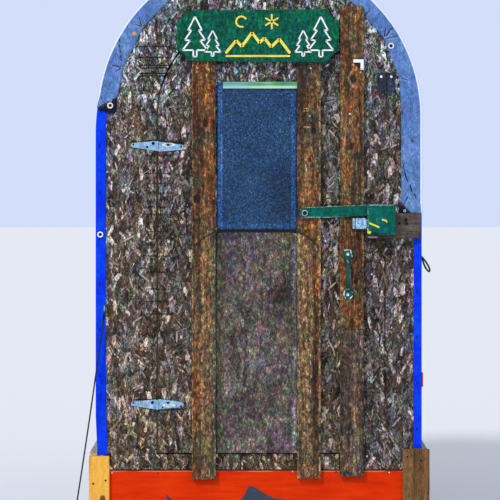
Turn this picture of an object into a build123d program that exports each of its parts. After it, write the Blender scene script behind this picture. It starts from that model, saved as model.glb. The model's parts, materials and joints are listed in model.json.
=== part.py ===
from build123d import *
import math
import os

os.makedirs("parts", exist_ok=True)

# Ice fishing hut. Millimetres, X to the right, Y into the hut, Z up.
# The origin is in the middle of the front sill's bottom face, on the ice.

# Overall size of the hut
wall_half_width = 610.0
hut_depth = 1830.0
spring_height = 1738.0

# Board and sheet thicknesses
strand_board = 11.0
skirt_board = 19.0
batten_board = 19.0
corner_board = 19.0
side_plank_board = 27.0
floor_board = 19.0
tarp = 2.0
seat_gap = 0.3

# Base heights
skirt_top = 405.0
side_plank_top = 476.0
left_corner_top = 461.0
right_corner_top = 487.0
back_corner_top = 470.0
left_corner_width = 76.3
right_corner_width = 100.3
back_corner_width = 89.0
corner_overhang = 3.0

# Framing timber
timber_depth = 38.0
sill_height = 89.0
rib_width = 60.0
purlin_size = 38.0
purlin_angle = 61.0
girt_height = 1080.0
joist_height = 120.0
joist_spacing = 560.0
floor_top = 449.0

# Fishing slot in the floor
slot_half_width = 260.0
slot_length = 420.0
slot_start = 690.0

# Door
door_left = -385.0
door_right = 382.0
door_bottom = 473.0
door_spring_height = 1745.0
door_gap = 5.0
door_proud = 7.0
stud_lap = 15.0

# Window in the door
window_left = -161.0
window_right = 141.0
window_bottom = 1314.0
window_top = 1870.0
window_lap = 22.0
window_sheet_thickness = 2.0
window_corner = 18.0
top_strip_left = -138.0
top_strip_height = 25.0
top_strip_thickness = 8.0

# Lower door panel
panel_left = -164.0
panel_right = 140.0
panel_bottom = 473.0
panel_top = 1306.0
panel_shoulder_run = 38.0
panel_shoulder_drop = 8.0
panel_thickness = 6.0

# Door battens
left_batten_x = (-254.0, -165.0)
middle_batten_x = (141.0, 230.0)
right_batten_x = (303.0, 392.0)
left_batten_z = (375.0, 2022.0)
middle_batten_z = (379.0, 2044.0)
right_batten_z = (386.0, 2154.0)
right_batten_joint = 939.0
batten_joint_gap = 1.5

# Sign
sign_left = -311.0
sign_right = 298.0
sign_bottom = 1942.0
sign_top = 2143.0
sign_corner = 42.0
sign_thickness = 12.0

# Strap hinges
hinge_x = door_left
upper_hinge_z = 1629.0
lower_hinge_z = 654.0
hinge_leaf_length = 99.0
hinge_root_width = 39.0
hinge_tip_width = 24.0
hinge_plate = 3.0
hinge_pin_radius = 3.0
hinge_barrel_radius = 6.0
hinge_barrel_length = 44.0
hinge_knuckle_gap = 0.5
hinge_strap_root = 3.6
hinge_lug_inset = 1.2
pin_fit = 0.05
upper_hinge_tilt = 2.0
lower_hinge_tilt = -1.5

# Lock bar, hood and padlock
pivot_x = 169.0
pivot_z = 1377.0
lock_clearance = 5.0
bar_width = 41.0
bar_plate = 5.0
bar_tilt = 2.4
pivot_radius = 6.0
pivot_washer_radius = 15.0
pivot_washer = 2.0
pivot_head_radius = 9.5
pivot_head = 7.0
nut_sides = 6
hood_left = 403.0
hood_right = 508.0
hood_drop = 80.0
hood_height = 112.0
hood_depth = 48.0
hood_plate = 3.0
hood_corner = 8.0
padlock_left = 349.0
padlock_right = 401.0
padlock_drop = 59.0
padlock_height = 40.0
padlock_depth = 24.0
shackle_radius = 3.5
shackle_spacing = 24.0
shackle_reach = 30.0
shackle_bend = 11.5
lug_plate = 5.0
wire_sides = 6
washer_sides = 24

# Keeper block and staple on the wall
keeper_inset = 5.0
keeper_left = 398.0
keeper_drop = 95.0
keeper_height = 94.0
staple_left = 404.0
staple_right = 444.0
staple_wire = 4.0
staple_bend = 8.0
staple_reach = 30.0
staple_drop = 5.5

# Door handle
handle_x = 331.0
handle_bottom = 1049.0
handle_top = 1243.0
handle_pad_radius = 21.0
handle_pad = 5.0
handle_neck = 29.0
handle_grip_radius = 7.5
handle_rise = 16.0
handle_reach = 40.0
handle_bend = 16.0
handle_sides = 12

# Corner bracket on the right batten
bracket_left = 352.0
bracket_bottom = 1915.0
bracket_arm = 39.0
bracket_width = 12.0
bracket_plate = 2.5

# Rubber flap
flap_inset = 99.0
flap_width = 68.0
flap_rise = 94.0
flap_height = 72.0
flap_thickness = 4.0
flap_slit = 5.0
flap_curl = 9.0

# Tarps
side_return_left = 40.0
side_return_right = 31.0
roof_return = 66.0
roof_cut_edge = ((171.8, 73.0), (160.0, 68.0), (142.4, 60.0), (127.1, 57.0),
                 (110.8, 41.0), (90.0, 44.0), (69.3, 42.0), (52.9, 57.0),
                 (43.9, 66.0), (32.7, 58.0), (15.3, 69.0), (4.0, 79.0))
roof_corner_inset = 39.0
roof_corner_rise = 47.5
roof_end_left = 1772.0
roof_end_right = 1370.0
tarp_lap = 110.0

# Guy line, its screw eye and peg
eye_inset = 27.0
eye_z = 1018.0
eye_ring_radius = 9.0
eye_wire = 2.5
eye_shank = 2.0
eye_sides = 16
eye_edge = 1.4
eye_stem = 14.0
rope_radius = 3.0
peg_reach = 128.0
peg_forward = 70.0
peg_height = 57.0
peg_radius = 5.0
peg_hook = 21.0
peg_bend = 10.0
peg_sides = 8

# Wire tie-down loop and reflector on the right side
loop_z = 1182.0
loop_drop = 56.0
loop_reach = 32.0
loop_wire = 2.0
loop_tail = 10.0
loop_seat = 1.0
reflector_bottom = 720.0
reflector_height = 53.0
reflector_width = 36.0
reflector_thickness = 4.0

# Patch in the front wall beside the door
patch_right = 472.0
patch_bottom = 701.0
patch_top = 1229.0
patch_gap = 1.5

# Places worked out from the sizes above
sill_front = -timber_depth / 2
face_y = sill_front - skirt_board
board_back = face_y + strand_board
back_face_y = face_y + hut_depth
back_board_front = back_face_y - strand_board
side_plank_inner = wall_half_width + tarp + seat_gap
side_plank_outer = side_plank_inner + side_plank_board
rib_inner = wall_half_width - rib_width
leaf_face = face_y - door_proud
leaf_back = leaf_face + strand_board
batten_face = leaf_face - batten_board
door_radius = (door_right - door_left) / 2
door_centre_x = (door_right + door_left) / 2
bar_back = batten_face - lock_clearance
bar_face = bar_back - bar_plate
keeper_face = batten_face
keeper_right = wall_half_width - keeper_inset
hood_bottom = pivot_z - hood_drop
hood_top = hood_bottom + hood_height
keeper_bottom = pivot_z - keeper_drop
keeper_top = keeper_bottom + keeper_height
padlock_bottom = pivot_z - padlock_drop
flap_right = wall_half_width - flap_inset
flap_left = flap_right - flap_width
flap_bottom = spring_height + flap_rise
flap_top = flap_bottom + flap_height
hinge_pin_y = leaf_face - hinge_barrel_radius - seat_gap
front_return_y = face_y - tarp
eye_x = -wall_half_width + eye_inset
peg_x = -wall_half_width - peg_reach
rib_centres = (board_back + timber_depth / 2,
               (face_y + back_face_y) / 2,
               back_board_front - timber_depth / 2)
floor_bottom = floor_top - floor_board
joist_bottom = floor_bottom - joist_height
tarp_hem = floor_bottom + seat_gap


def block(x0, x1, y0, y1, z0, z1):
    """A squared board between two corners."""
    centre = ((x0 + x1) / 2, (y0 + y1) / 2, (z0 + z1) / 2)
    return Pos(*centre) * Box(x1 - x0, y1 - y0, z1 - z0)


def upright(sketch, y_front, y_back):
    """A front-view outline, X across and Z up, given thickness along Y."""
    plane = Plane(origin=(0, y_back, 0), x_dir=(1, 0, 0), z_dir=(0, -1, 0))
    return extrude(plane * sketch, y_back - y_front)


def rectangle(x0, x1, z0, z1):
    """A front-view rectangle between two corners."""
    return Pos((x0 + x1) / 2, (z0 + z1) / 2) * Rectangle(x1 - x0, z1 - z0)


def arch(half_width, bottom, spring, centre_x=0.0):
    """A round-headed outline that stands on the height bottom."""
    head = Pos(centre_x, spring) * Circle(half_width)
    legs = rectangle(centre_x - half_width, centre_x + half_width, bottom, spring)
    below = rectangle(centre_x - 2 * half_width, centre_x + 2 * half_width,
                      spring - 2 * half_width, spring)
    return (head - below) + legs


def hoop(outer_offset, inner_offset, bottom):
    """The band between two arches, both set off from the wall's edge."""
    outer = arch(wall_half_width + outer_offset, bottom, spring_height)
    inner = arch(wall_half_width + inner_offset, bottom - 1, spring_height)
    return outer - inner


def rod(start, end, radius):
    """A round bar between two points."""
    line = Line(start, end)
    return sweep(Plane(origin=start, z_dir=line % 0) * Circle(radius), path=line)


def bent_rod(points, bend, radius, sides=wire_sides):
    """A bar of many sides along straight runs with rounded corners."""
    line = FilletPolyline(*points, radius=bend)
    section = Plane(origin=points[0], z_dir=line % 0) * RegularPolygon(radius, sides)
    return sweep(section, path=line)


def save(node, *solids):
    """Write one named piece of the hut."""
    shape = solids[0] if len(solids) == 1 else Compound(children=list(solids))
    export_step(shape, f"parts/{node}.step")


# Base

def build_base():
    """Sills, planks, skirts and corner boards, from the ice up."""
    back_sill_end = back_face_y - skirt_board
    front_sill = block(-rib_inner, rib_inner, sill_front, sill_front + timber_depth,
                       0, sill_height)
    back_sill = block(-rib_inner, rib_inner, back_sill_end - timber_depth, back_sill_end,
                      0, sill_height)
    save("base_sills", front_sill, back_sill)
    for side, name in ((-1, "left"), (1, "right")):
        xs = sorted((side * side_plank_inner, side * side_plank_outer))
        save(f"{name}_side_plank", block(*xs, face_y, back_face_y, 0, side_plank_top))
    outer = side_plank_outer + corner_overhang
    corner_back = face_y
    save("front_left_corner_board",
         block(-outer, left_corner_width - outer, corner_back - corner_board, corner_back,
               0, left_corner_top))
    save("front_right_corner_board",
         block(side_plank_outer - right_corner_width, side_plank_outer,
               corner_back - corner_board, corner_back, 0, right_corner_top))
    save("back_corner_boards",
         *(block(*sorted((side * outer, side * (outer - back_corner_width))),
                 back_face_y, back_face_y + corner_board, 0, back_corner_top)
           for side in (-1, 1)))
    save("front_skirt", block(-side_plank_inner, side_plank_inner, face_y, sill_front,
                              0, skirt_top))
    save("back_skirt", block(-side_plank_inner, side_plank_inner,
                             back_sill_end, back_face_y, 0, skirt_top))


def joist_places():
    """The Y of each floor joist's front face."""
    middle = (face_y + back_face_y) / 2
    places = [rib_centres[0] + timber_depth / 2 + seat_gap,
              middle - joist_spacing / 2 - timber_depth / 2,
              middle + joist_spacing / 2 - timber_depth / 2,
              rib_centres[2] - timber_depth / 2 - timber_depth - seat_gap]
    return places


def build_floor():
    """Joists between the side planks and a deck with the fishing slot."""
    save("floor_joists",
         *(block(-side_plank_inner, side_plank_inner, y, y + timber_depth,
                 joist_bottom, floor_bottom) for y in joist_places()))
    deck = block(-wall_half_width, wall_half_width, board_back, back_board_front,
                 floor_bottom, floor_top)
    slot = block(-slot_half_width, slot_half_width, slot_start,
                 slot_start + slot_length, floor_bottom - 1, floor_top + 1)
    legs = [upright(hoop(1, -rib_width - seat_gap, 0), y - timber_depth / 2 - seat_gap,
                    y + timber_depth / 2 + seat_gap) for y in rib_centres]
    studs = [block(x0 - seat_gap, x1 + seat_gap, board_back - 1,
                   board_back + timber_depth + seat_gap, floor_bottom - 1, floor_top + 1)
             for x0, x1 in stud_places()]
    save("floor_deck", deck - slot - legs - studs)


# Shell

def build_ribs():
    """Three round-headed ribs that the tarps are stretched over."""
    for y, name in zip(rib_centres, ("front", "middle", "back")):
        rib = upright(hoop(0, -rib_width, 0), y - timber_depth / 2, y + timber_depth / 2)
        if name == "front":
            rib = rib - block(-2 * wall_half_width, 2 * wall_half_width, face_y - 1,
                              sill_front, -1, skirt_top)
            rib = rib - block(-2 * wall_half_width, 2 * wall_half_width, face_y - 1,
                              board_back, -1, spring_height)
        if name == "back":
            rib = rib - block(-2 * wall_half_width, 2 * wall_half_width,
                              back_face_y - skirt_board, back_face_y + 1, -1, skirt_top)
        save(f"{name}_rib", rib)


def purlin(angle):
    """A squared bar under the ribs, at an angle up from the right side."""
    length = rib_centres[2] - rib_centres[0] + timber_depth
    half = purlin_size / 2
    top = math.sqrt(rib_inner ** 2 - half ** 2) - seat_gap
    bar = Pos(top - half, (rib_centres[0] + rib_centres[2]) / 2, 0) * Box(
        purlin_size, length, purlin_size)
    return Pos(0, 0, spring_height) * Rot(0, -angle, 0) * bar


def stud_places():
    """The X range of each stud beside the doorway."""
    return ((door_left + stud_lap - timber_depth, door_left + stud_lap),
            (door_right - stud_lap, door_right - stud_lap + timber_depth))


def build_framing():
    """Ridge, purlins, girts and the studs beside the door."""
    save("roof_purlins", purlin(90), purlin(purlin_angle), purlin(180 - purlin_angle))
    girt_front = rib_centres[0] - timber_depth / 2
    girt_back = rib_centres[2] + timber_depth / 2
    save("side_girts",
         *(block(*sorted((side * rib_inner, side * (rib_inner - purlin_size))),
                 girt_front, girt_back, z, z + purlin_size)
           for side in (-1, 1) for z in (girt_height, spring_height - purlin_size)))
    inside = arch(rib_inner - seat_gap, floor_bottom, spring_height)
    studs = [upright(rectangle(x0, x1, floor_bottom, 2 * spring_height) & inside,
                     board_back, board_back + timber_depth)
             for x0, x1 in stud_places()]
    save("door_studs", *studs)


def build_walls():
    """Front wall in four pieces round the doorway, and the back wall."""
    left_edge = door_left - door_gap / 2
    right_edge = door_right + door_gap / 2
    save("front_wall_left", block(-wall_half_width, left_edge, face_y, board_back,
                                  skirt_top, spring_height))
    right_board = block(right_edge, wall_half_width, face_y, board_back,
                        skirt_top, spring_height)
    patch_room = block(right_edge - 1, patch_right + patch_gap, face_y - 1, board_back + 1,
                       patch_bottom - patch_gap, patch_top + patch_gap)
    patch = block(right_edge, patch_right, face_y, board_back, patch_bottom, patch_top)
    save("front_wall_right", right_board - patch_room, patch)
    save("front_wall_sill", block(left_edge, right_edge, face_y, board_back,
                                  skirt_top, door_bottom - door_gap / 2))
    doorway = arch(door_radius + door_gap / 2, skirt_top, door_spring_height,
                   door_centre_x)
    head = arch(wall_half_width, spring_height, spring_height) - doorway
    save("front_wall_top", upright(head, face_y, board_back))
    save("back_wall", upright(arch(wall_half_width, skirt_top, spring_height),
                              back_board_front, back_face_y))


def roof_cut_outline():
    """The front of the hut inside the roof tarp's cut edge, which runs straight
    from staple to staple and ends in a cut corner on each side."""
    edge = [(radius * math.cos(math.radians(angle)),
             spring_height + radius * math.sin(math.radians(angle)))
            for angle, inset in roof_cut_edge
            for radius in (wall_half_width - inset,)]
    right_inner = edge[-1][0]
    corner_top = roof_end_right + roof_corner_rise
    corner = [(right_inner, corner_top),
              (wall_half_width - roof_corner_inset, roof_end_right),
              (wall_half_width - roof_corner_inset, skirt_top),
              (-wall_half_width, skirt_top)]
    left_corner = (-wall_half_width, roof_end_left)
    return make_face(Polyline(*edge, *corner, left_corner, edge[0]))


def build_tarps():
    """Blue side tarps tucked behind the planks, and the grey roof tarp over them."""
    inner = seat_gap
    blue = hoop(inner + tarp, inner, tarp_hem)
    far = 2 * wall_half_width
    blue_front = hoop(inner + tarp, -side_return_left, side_plank_top)
    blue_right_front = hoop(inner + tarp, -side_return_right, side_plank_top)
    for side, name, end in ((-1, "left", roof_end_left), (1, "right", roof_end_right)):
        half = rectangle(*sorted((side * 1.0, side * far)), tarp_hem, end + tarp_lap)
        lower = rectangle(*sorted((side * 1.0, side * far)), right_corner_top, end)
        front = blue_front if side < 0 else blue_right_front
        shell = upright(blue & half, face_y, back_face_y)
        flaps = [upright(front & lower, front_return_y, face_y),
                 upright(front & lower, back_face_y, back_face_y + tarp)]
        save(f"{name}_tarp", shell + flaps)
    grey_inner = inner + tarp + seat_gap
    grey = hoop(grey_inner + tarp, grey_inner, roof_end_right)
    grey_back = hoop(grey_inner + tarp, -roof_return, roof_end_right)
    grey_front = arch(wall_half_width + grey_inner + tarp, roof_end_right,
                      spring_height) - roof_cut_outline()
    above = spring_height + far
    keep = rectangle(-far, 0.0, roof_end_left, above) + rectangle(
        0.0, far, roof_end_right, above)
    shell = upright(grey & keep, face_y, back_face_y)
    flaps = [upright(grey_front & keep, front_return_y, face_y),
             upright(grey_back & keep, back_face_y, back_face_y + tarp)]
    save("roof_tarp", shell + flaps)


# Door

def chamfered_board(x0, x1, z0, z1, cut):
    """A rectangle with its four corners cut off."""
    sketch = rectangle(x0, x1, z0, z1)
    return chamfer(sketch.vertices(), cut)


def build_door():
    """Door leaf, boards, window, lower panel and sign."""
    leaf = upright(arch(door_radius - door_gap / 2, door_bottom, door_spring_height,
                        door_centre_x), leaf_face, leaf_back)
    window = upright(rectangle(window_left + window_lap, window_right - window_lap,
                               window_bottom + window_lap, window_top - window_lap),
                     leaf_face - 1, leaf_back + 1)
    bolt_hole = pivot_rod(leaf_face - 1, leaf_back + 1, pivot_radius + seat_gap)
    save("door_leaf", leaf - window - bolt_hole)
    left = block(*left_batten_x, batten_face, leaf_face, *left_batten_z)
    save("left_batten", left)
    middle = block(*middle_batten_x, batten_face, leaf_face, *middle_batten_z)
    save("middle_batten", middle - pivot_rod(batten_face - 1, leaf_face + 1,
                                             pivot_radius + seat_gap))
    upper = block(*right_batten_x, batten_face, leaf_face,
                  right_batten_joint + batten_joint_gap, right_batten_z[1])
    lower = block(*right_batten_x, batten_face, leaf_face,
                  right_batten_z[0], right_batten_joint)
    save("right_batten", upper, lower)
    sheet = rectangle(window_left, window_right, window_bottom, window_top)
    corner = sheet.vertices().sort_by(Axis.Y)[0:2].sort_by(Axis.X)[0]
    sheet = fillet(corner, window_corner)
    save("window_sheet", upright(sheet, leaf_face - window_sheet_thickness, leaf_face))
    strip_face = leaf_face - window_sheet_thickness - top_strip_thickness
    save("window_top_strip", block(top_strip_left, window_right, strip_face,
                                   leaf_face - window_sheet_thickness,
                                   window_top - top_strip_height, window_top))
    shoulder_z = panel_top - panel_shoulder_drop
    panel = make_face(Polyline(
        (panel_left, panel_bottom), (panel_right, panel_bottom),
        (panel_right, shoulder_z), (panel_right - panel_shoulder_run, panel_top),
        (panel_left + panel_shoulder_run, panel_top), (panel_left, shoulder_z),
        (panel_left, panel_bottom)))
    save("lower_door_panel", upright(panel, leaf_face - panel_thickness, leaf_face))
    board = chamfered_board(sign_left, sign_right, sign_bottom, sign_top, sign_corner)
    save("sign_board", upright(board, batten_face - sign_thickness, batten_face))


def build_handle():
    """A cast pull handle: a round pad at each end that tapers into a bowed grip."""
    pad_zs = (handle_bottom + handle_pad_radius, handle_top - handle_pad_radius)
    roots = (pad_zs[0] + handle_neck, pad_zs[1] - handle_neck)
    pad_face = batten_face - handle_pad
    grip_y = batten_face - handle_reach
    path = [(handle_x, pad_face, roots[0]),
            (handle_x, grip_y, roots[0] + handle_rise),
            (handle_x, grip_y, roots[1] - handle_rise),
            (handle_x, pad_face, roots[1])]
    handle = bent_rod(path, handle_bend, handle_grip_radius, handle_sides)
    for pad_z, root_z in zip(pad_zs, roots):
        pad = Pos(handle_x, pad_z) * Circle(handle_pad_radius)
        neck = Pos(handle_x, root_z) * Circle(handle_grip_radius)
        taper = make_hull((pad + neck).edges())
        handle = handle + upright(taper, pad_face, batten_face)
    save("door_handle", handle)


def strap(side, tilt, z, back_y):
    """One tapered hinge strap with a rounded tip, seen from the front."""
    reach = hinge_leaf_length
    tip = hinge_tip_width / 2
    root = hinge_root_width / 2
    outline = Polyline((hinge_strap_root, -root), (reach - tip, -tip))
    end = ThreePointArc((reach - tip, -tip), (reach, 0), (reach - tip, tip))
    rest = Polyline((reach - tip, tip), (hinge_strap_root, root), (hinge_strap_root, -root))
    sketch = make_face(outline + end + rest)
    if side < 0:
        sketch = mirror(sketch, Plane.YZ)
    sketch = Pos(hinge_x, z) * Rot(0, 0, tilt) * sketch
    return upright(sketch, back_y - hinge_plate, back_y)


def barrel(z0, z1, radius):
    """A round piece on the hinge line."""
    return Pos(hinge_x, hinge_pin_y, (z0 + z1) / 2) * Cylinder(radius, z1 - z0)


def build_hinges():
    """Two strap hinges: wall leaf with the pin, door leaf with the middle knuckle."""
    wall_leaves = []
    door_leaves = []
    for z, tilt in ((upper_hinge_z, upper_hinge_tilt), (lower_hinge_z, lower_hinge_tilt)):
        low = z - hinge_barrel_length / 2
        third = hinge_barrel_length / 3
        middle_low = low + third
        middle_high = low + 2 * third
        wall_knuckles = (barrel(low, middle_low - hinge_knuckle_gap, hinge_barrel_radius)
                         + barrel(middle_high + hinge_knuckle_gap,
                                  low + hinge_barrel_length, hinge_barrel_radius))
        clear = barrel(middle_low - hinge_knuckle_gap, middle_high + hinge_knuckle_gap,
                       hinge_barrel_radius + hinge_knuckle_gap)
        wall_strap = strap(-1, tilt, z, face_y)
        lug = block(hinge_x - hinge_barrel_radius, hinge_x - hinge_lug_inset,
                    hinge_pin_y, face_y, low, low + hinge_barrel_length)
        wall_leaf = wall_strap + lug + wall_knuckles - clear
        wall_leaves.append(wall_leaf + barrel(low, low + hinge_barrel_length,
                                              hinge_pin_radius))
        door_strap = strap(1, tilt, z, leaf_face)
        above = barrel(middle_high, middle_high + hinge_barrel_length,
                       hinge_barrel_radius + hinge_knuckle_gap)
        below = barrel(middle_low - hinge_barrel_length, middle_low,
                       hinge_barrel_radius + hinge_knuckle_gap)
        knuckle = barrel(middle_low, middle_high, hinge_barrel_radius)
        bore = barrel(low - 1, low + hinge_barrel_length + 1, hinge_pin_radius + pin_fit)
        door_leaves.append(door_strap - above - below + knuckle - bore)
    save("hinge_wall_leaves", *wall_leaves)
    save("hinge_door_leaves", *door_leaves)


def build_bracket():
    """A small corner bracket on the right batten."""
    bracket_top = bracket_bottom + bracket_arm
    flat = rectangle(bracket_left, bracket_left + bracket_arm,
                     bracket_top - bracket_width, bracket_top)
    tall = rectangle(bracket_left + bracket_arm - bracket_width,
                     bracket_left + bracket_arm, bracket_bottom, bracket_top)
    save("corner_bracket", upright(flat + tall, batten_face - bracket_plate, batten_face))


# Lock

def pivot_plate(y0, y1, radius, sides=washer_sides):
    """A many-sided plate on the lock bar's pivot line."""
    return upright(Pos(pivot_x, pivot_z) * RegularPolygon(radius, sides), y0, y1)


def pivot_rod(y0, y1, radius):
    """A round piece on the lock bar's pivot line."""
    centre = (y0 + y1) / 2
    return Pos(pivot_x, centre, pivot_z) * Rot(90, 0, 0) * Cylinder(radius, y1 - y0)


def build_pivot():
    """Bolt with a spacer behind the bar, and a washer and head before it."""
    head_back = bar_face - hinge_knuckle_gap
    shaft = pivot_rod(head_back, leaf_back, pivot_radius)
    spacer = pivot_plate(bar_back + hinge_knuckle_gap, batten_face, pivot_washer_radius)
    washer_face = head_back - pivot_washer
    washer = pivot_plate(washer_face, head_back, pivot_washer_radius)
    head = pivot_plate(washer_face - pivot_head, washer_face, pivot_head_radius, nut_sides)
    save("lock_pivot_bolt", shaft + spacer + washer + head)


def shackle_zs():
    """The heights of the shackle's two legs."""
    middle = padlock_bottom + padlock_height / 2
    return middle - shackle_spacing / 2, middle + shackle_spacing / 2


def shackle_y():
    """The depth at which the padlock hangs."""
    return bar_back - hood_depth / 2


def build_lock():
    """Swinging bar with a hood welded on its end, and the padlock through its slot."""
    half = bar_width / 2
    flat = rectangle(0, hood_right - pivot_x, -half, half)
    outline = Pos(pivot_x, pivot_z) * Rot(0, 0, bar_tilt) * (flat + Circle(half))
    bar = upright(outline, bar_face, bar_back)
    bar = bar - block(hood_left, hood_right + bar_width, bar_face - 1, bar_back + 1,
                      hood_bottom, hood_top + bar_width)
    save("lock_bar", bar - pivot_rod(bar_face - 1, bar_back + 1, pivot_radius + pin_fit))
    hood_face = bar_back - hood_depth
    shell = block(hood_left, hood_right, hood_face, bar_back, hood_bottom, hood_top)
    front_edges = shell.edges().filter_by(Axis.Z).sort_by(Axis.Y)[0:2]
    shell = fillet(front_edges, hood_corner)
    hollow = block(hood_left + hood_plate, hood_right - hood_plate,
                   hood_face + hood_plate, bar_back + 1,
                   hood_bottom - 1, hood_top - hood_plate)
    low_leg, high_leg = shackle_zs()
    middle_y = shackle_y()
    half_slot = shackle_radius + seat_gap
    slot = block(hood_left - 1, hood_left + hood_plate + 1, middle_y - half_slot,
                 middle_y + half_slot, low_leg - half_slot, high_leg + half_slot)
    lug_left = hood_left + hood_plate
    lug_z = (low_leg + high_leg) / 2
    lug_half = shackle_spacing / 2 - shackle_radius - seat_gap
    lug_right = padlock_right + shackle_reach - shackle_spacing / 2
    lug = block(lug_left, lug_right,
                hood_face + hood_plate, bar_back - hood_plate,
                lug_z - lug_half, lug_z - lug_half + lug_plate)
    save("lock_hood", shell - hollow - slot + lug)
    body = block(padlock_left, padlock_right, middle_y - padlock_depth / 2,
                 middle_y + padlock_depth / 2, padlock_bottom,
                 padlock_bottom + padlock_height)
    body = fillet(body.edges().filter_by(Axis.Y), padlock_height / 4)
    save("padlock_body", body)
    far = padlock_right + shackle_reach
    path = [(padlock_right, middle_y, low_leg), (far, middle_y, low_leg),
            (far, middle_y, high_leg), (padlock_right, middle_y, high_leg)]
    save("padlock_shackle", bent_rod(path, shackle_bend, shackle_radius))


def build_keeper():
    """Weathered block on the wall beside the door, with its steel staple."""
    body = block(keeper_left, keeper_right, keeper_face, face_y, keeper_bottom, keeper_top)
    corner_lap = roof_corner_inset + max(keeper_top - roof_end_right, 0)
    inner_edge = wall_half_width - max(side_return_right, corner_lap) - seat_gap
    tarp_room = block(inner_edge, keeper_right + 1, front_return_y - seat_gap, face_y + 1,
                      keeper_bottom - 1, keeper_top + 1)
    staple_z = hood_bottom - staple_drop - staple_wire
    save("keeper_block", body - tarp_room)
    front = keeper_face - staple_reach
    path = [(staple_left + staple_wire, keeper_face, staple_z),
            (staple_left + staple_wire, front, staple_z),
            (staple_right - staple_wire, front, staple_z),
            (staple_right - staple_wire, keeper_face, staple_z)]
    save("keeper_staple", bent_rod(path, staple_bend, staple_wire))


# Trim

def build_flap():
    """A split strip of rubber that curls away from the wall at its lower end."""
    middle = (flap_left + flap_right) / 2
    side_view = Plane(origin=(flap_left, 0, 0), x_dir=(0, 1, 0), z_dir=(1, 0, 0))
    curl_start = flap_bottom + flap_curl * 2
    line = Line((face_y, flap_top), (face_y, curl_start))
    curve = TangentArc((face_y, curl_start), (face_y - flap_curl, flap_bottom),
                       tangent=(0, -1))
    outer = offset_curve_face(line, curve)
    strip = extrude(side_view * outer, flap_right - flap_left)
    slit = block(middle - flap_slit / 2, middle + flap_slit / 2, face_y - 4 * flap_curl,
                 face_y + 1, flap_bottom - flap_curl, flap_top - 2 * flap_curl)
    save("rubber_flap", strip - slit)


def offset_curve_face(line, curve):
    """The closed side view of a strip, from its back line and its curled end."""
    shift = Pos(-flap_thickness, 0)
    start = line @ 0
    end = curve @ 1
    moved = [shift * line, shift * curve]
    close_top = Line(start, (start.X - flap_thickness, start.Y))
    close_low = Line(end, (end.X - flap_thickness, end.Y))
    return make_face([line, curve, close_low, *moved, close_top])


def build_guy_line():
    """A taut line from a screw eye beside the door to a peg in the ice."""
    eye_y = front_return_y - eye_stem
    stem = rod((eye_x, front_return_y, eye_z), (eye_x, eye_y, eye_z), eye_shank)
    ring_centre = (eye_x, eye_y - eye_ring_radius, eye_z)
    band = (RegularPolygon(eye_ring_radius + eye_wire, eye_sides)
            - RegularPolygon(eye_ring_radius - eye_wire, eye_sides))
    ring = extrude(Plane.YZ * band, eye_wire, both=True)
    ring = Pos(*ring_centre) * chamfer(ring.faces().filter_by(Axis.X).edges(), eye_edge)
    save("guy_eye", stem + ring)
    peg_y = front_return_y - peg_forward
    top = (peg_x, peg_y, peg_height)
    hook_end = (peg_x - peg_hook, peg_y, peg_height)
    save("guy_peg", bent_rod([(peg_x, peg_y, 0), top, hook_end], peg_bend, peg_radius,
                             peg_sides))
    rope_top = (eye_x, ring_centre[1], eye_z - eye_ring_radius - eye_wire - seat_gap)
    rope_low = (peg_x + peg_radius + rope_radius + seat_gap, peg_y, rope_radius * 4)
    save("guy_line", rod(rope_top, rope_low, rope_radius))


def build_side_trim():
    """A wire tie-down loop and a small reflector on the right side."""
    outside = wall_half_width + tarp + seat_gap * 2
    loop_y = front_return_y + reflector_width
    loop_root = outside + loop_seat
    path = [(loop_root, loop_y, loop_z + loop_drop / 2),
            (outside + loop_reach, loop_y, loop_z + loop_drop / 4),
            (outside + loop_reach, loop_y, loop_z - loop_drop / 2),
            (loop_root, loop_y, loop_z - loop_drop / 3)]
    save("wire_loop", bent_rod(path, loop_tail, loop_wire))
    save("reflector", block(outside, outside + reflector_thickness, face_y,
                            face_y + reflector_width, reflector_bottom,
                            reflector_bottom + reflector_height))


build_base()
build_floor()
build_ribs()
build_framing()
build_walls()
build_tarps()
build_door()
build_handle()
build_hinges()
build_bracket()
build_pivot()
build_lock()
build_keeper()
build_flap()
build_guy_line()
build_side_trim()
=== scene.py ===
import functools
import json
import math
import random
from contextlib import contextmanager

import bmesh
import bpy
from mathutils import Matrix, Vector, noise


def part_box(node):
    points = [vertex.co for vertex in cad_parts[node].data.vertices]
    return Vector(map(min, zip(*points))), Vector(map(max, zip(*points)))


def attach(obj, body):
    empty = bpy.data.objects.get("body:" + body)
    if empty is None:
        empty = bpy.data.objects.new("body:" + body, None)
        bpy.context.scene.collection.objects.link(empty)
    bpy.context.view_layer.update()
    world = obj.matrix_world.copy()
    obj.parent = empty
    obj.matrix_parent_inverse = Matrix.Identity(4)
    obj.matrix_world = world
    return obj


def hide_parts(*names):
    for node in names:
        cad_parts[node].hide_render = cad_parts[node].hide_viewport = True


# Ice fishing hut: finishes and fine detail round the built frame.
# Metres, X to the right, Y into the hut, Z up from the ice.

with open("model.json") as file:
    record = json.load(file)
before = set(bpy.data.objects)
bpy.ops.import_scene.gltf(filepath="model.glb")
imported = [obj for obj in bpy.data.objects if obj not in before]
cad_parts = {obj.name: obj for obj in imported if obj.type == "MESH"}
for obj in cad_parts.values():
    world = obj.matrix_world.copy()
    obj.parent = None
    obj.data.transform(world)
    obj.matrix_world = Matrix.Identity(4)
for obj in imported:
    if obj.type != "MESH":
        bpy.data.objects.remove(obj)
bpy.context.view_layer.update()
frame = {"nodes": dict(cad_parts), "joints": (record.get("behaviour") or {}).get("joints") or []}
nodes = frame["nodes"]

MM = 0.001
TURN = 2 * math.pi

# noise_vector follows the clock until it is given a seed.
noise.seed_set(5)

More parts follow.
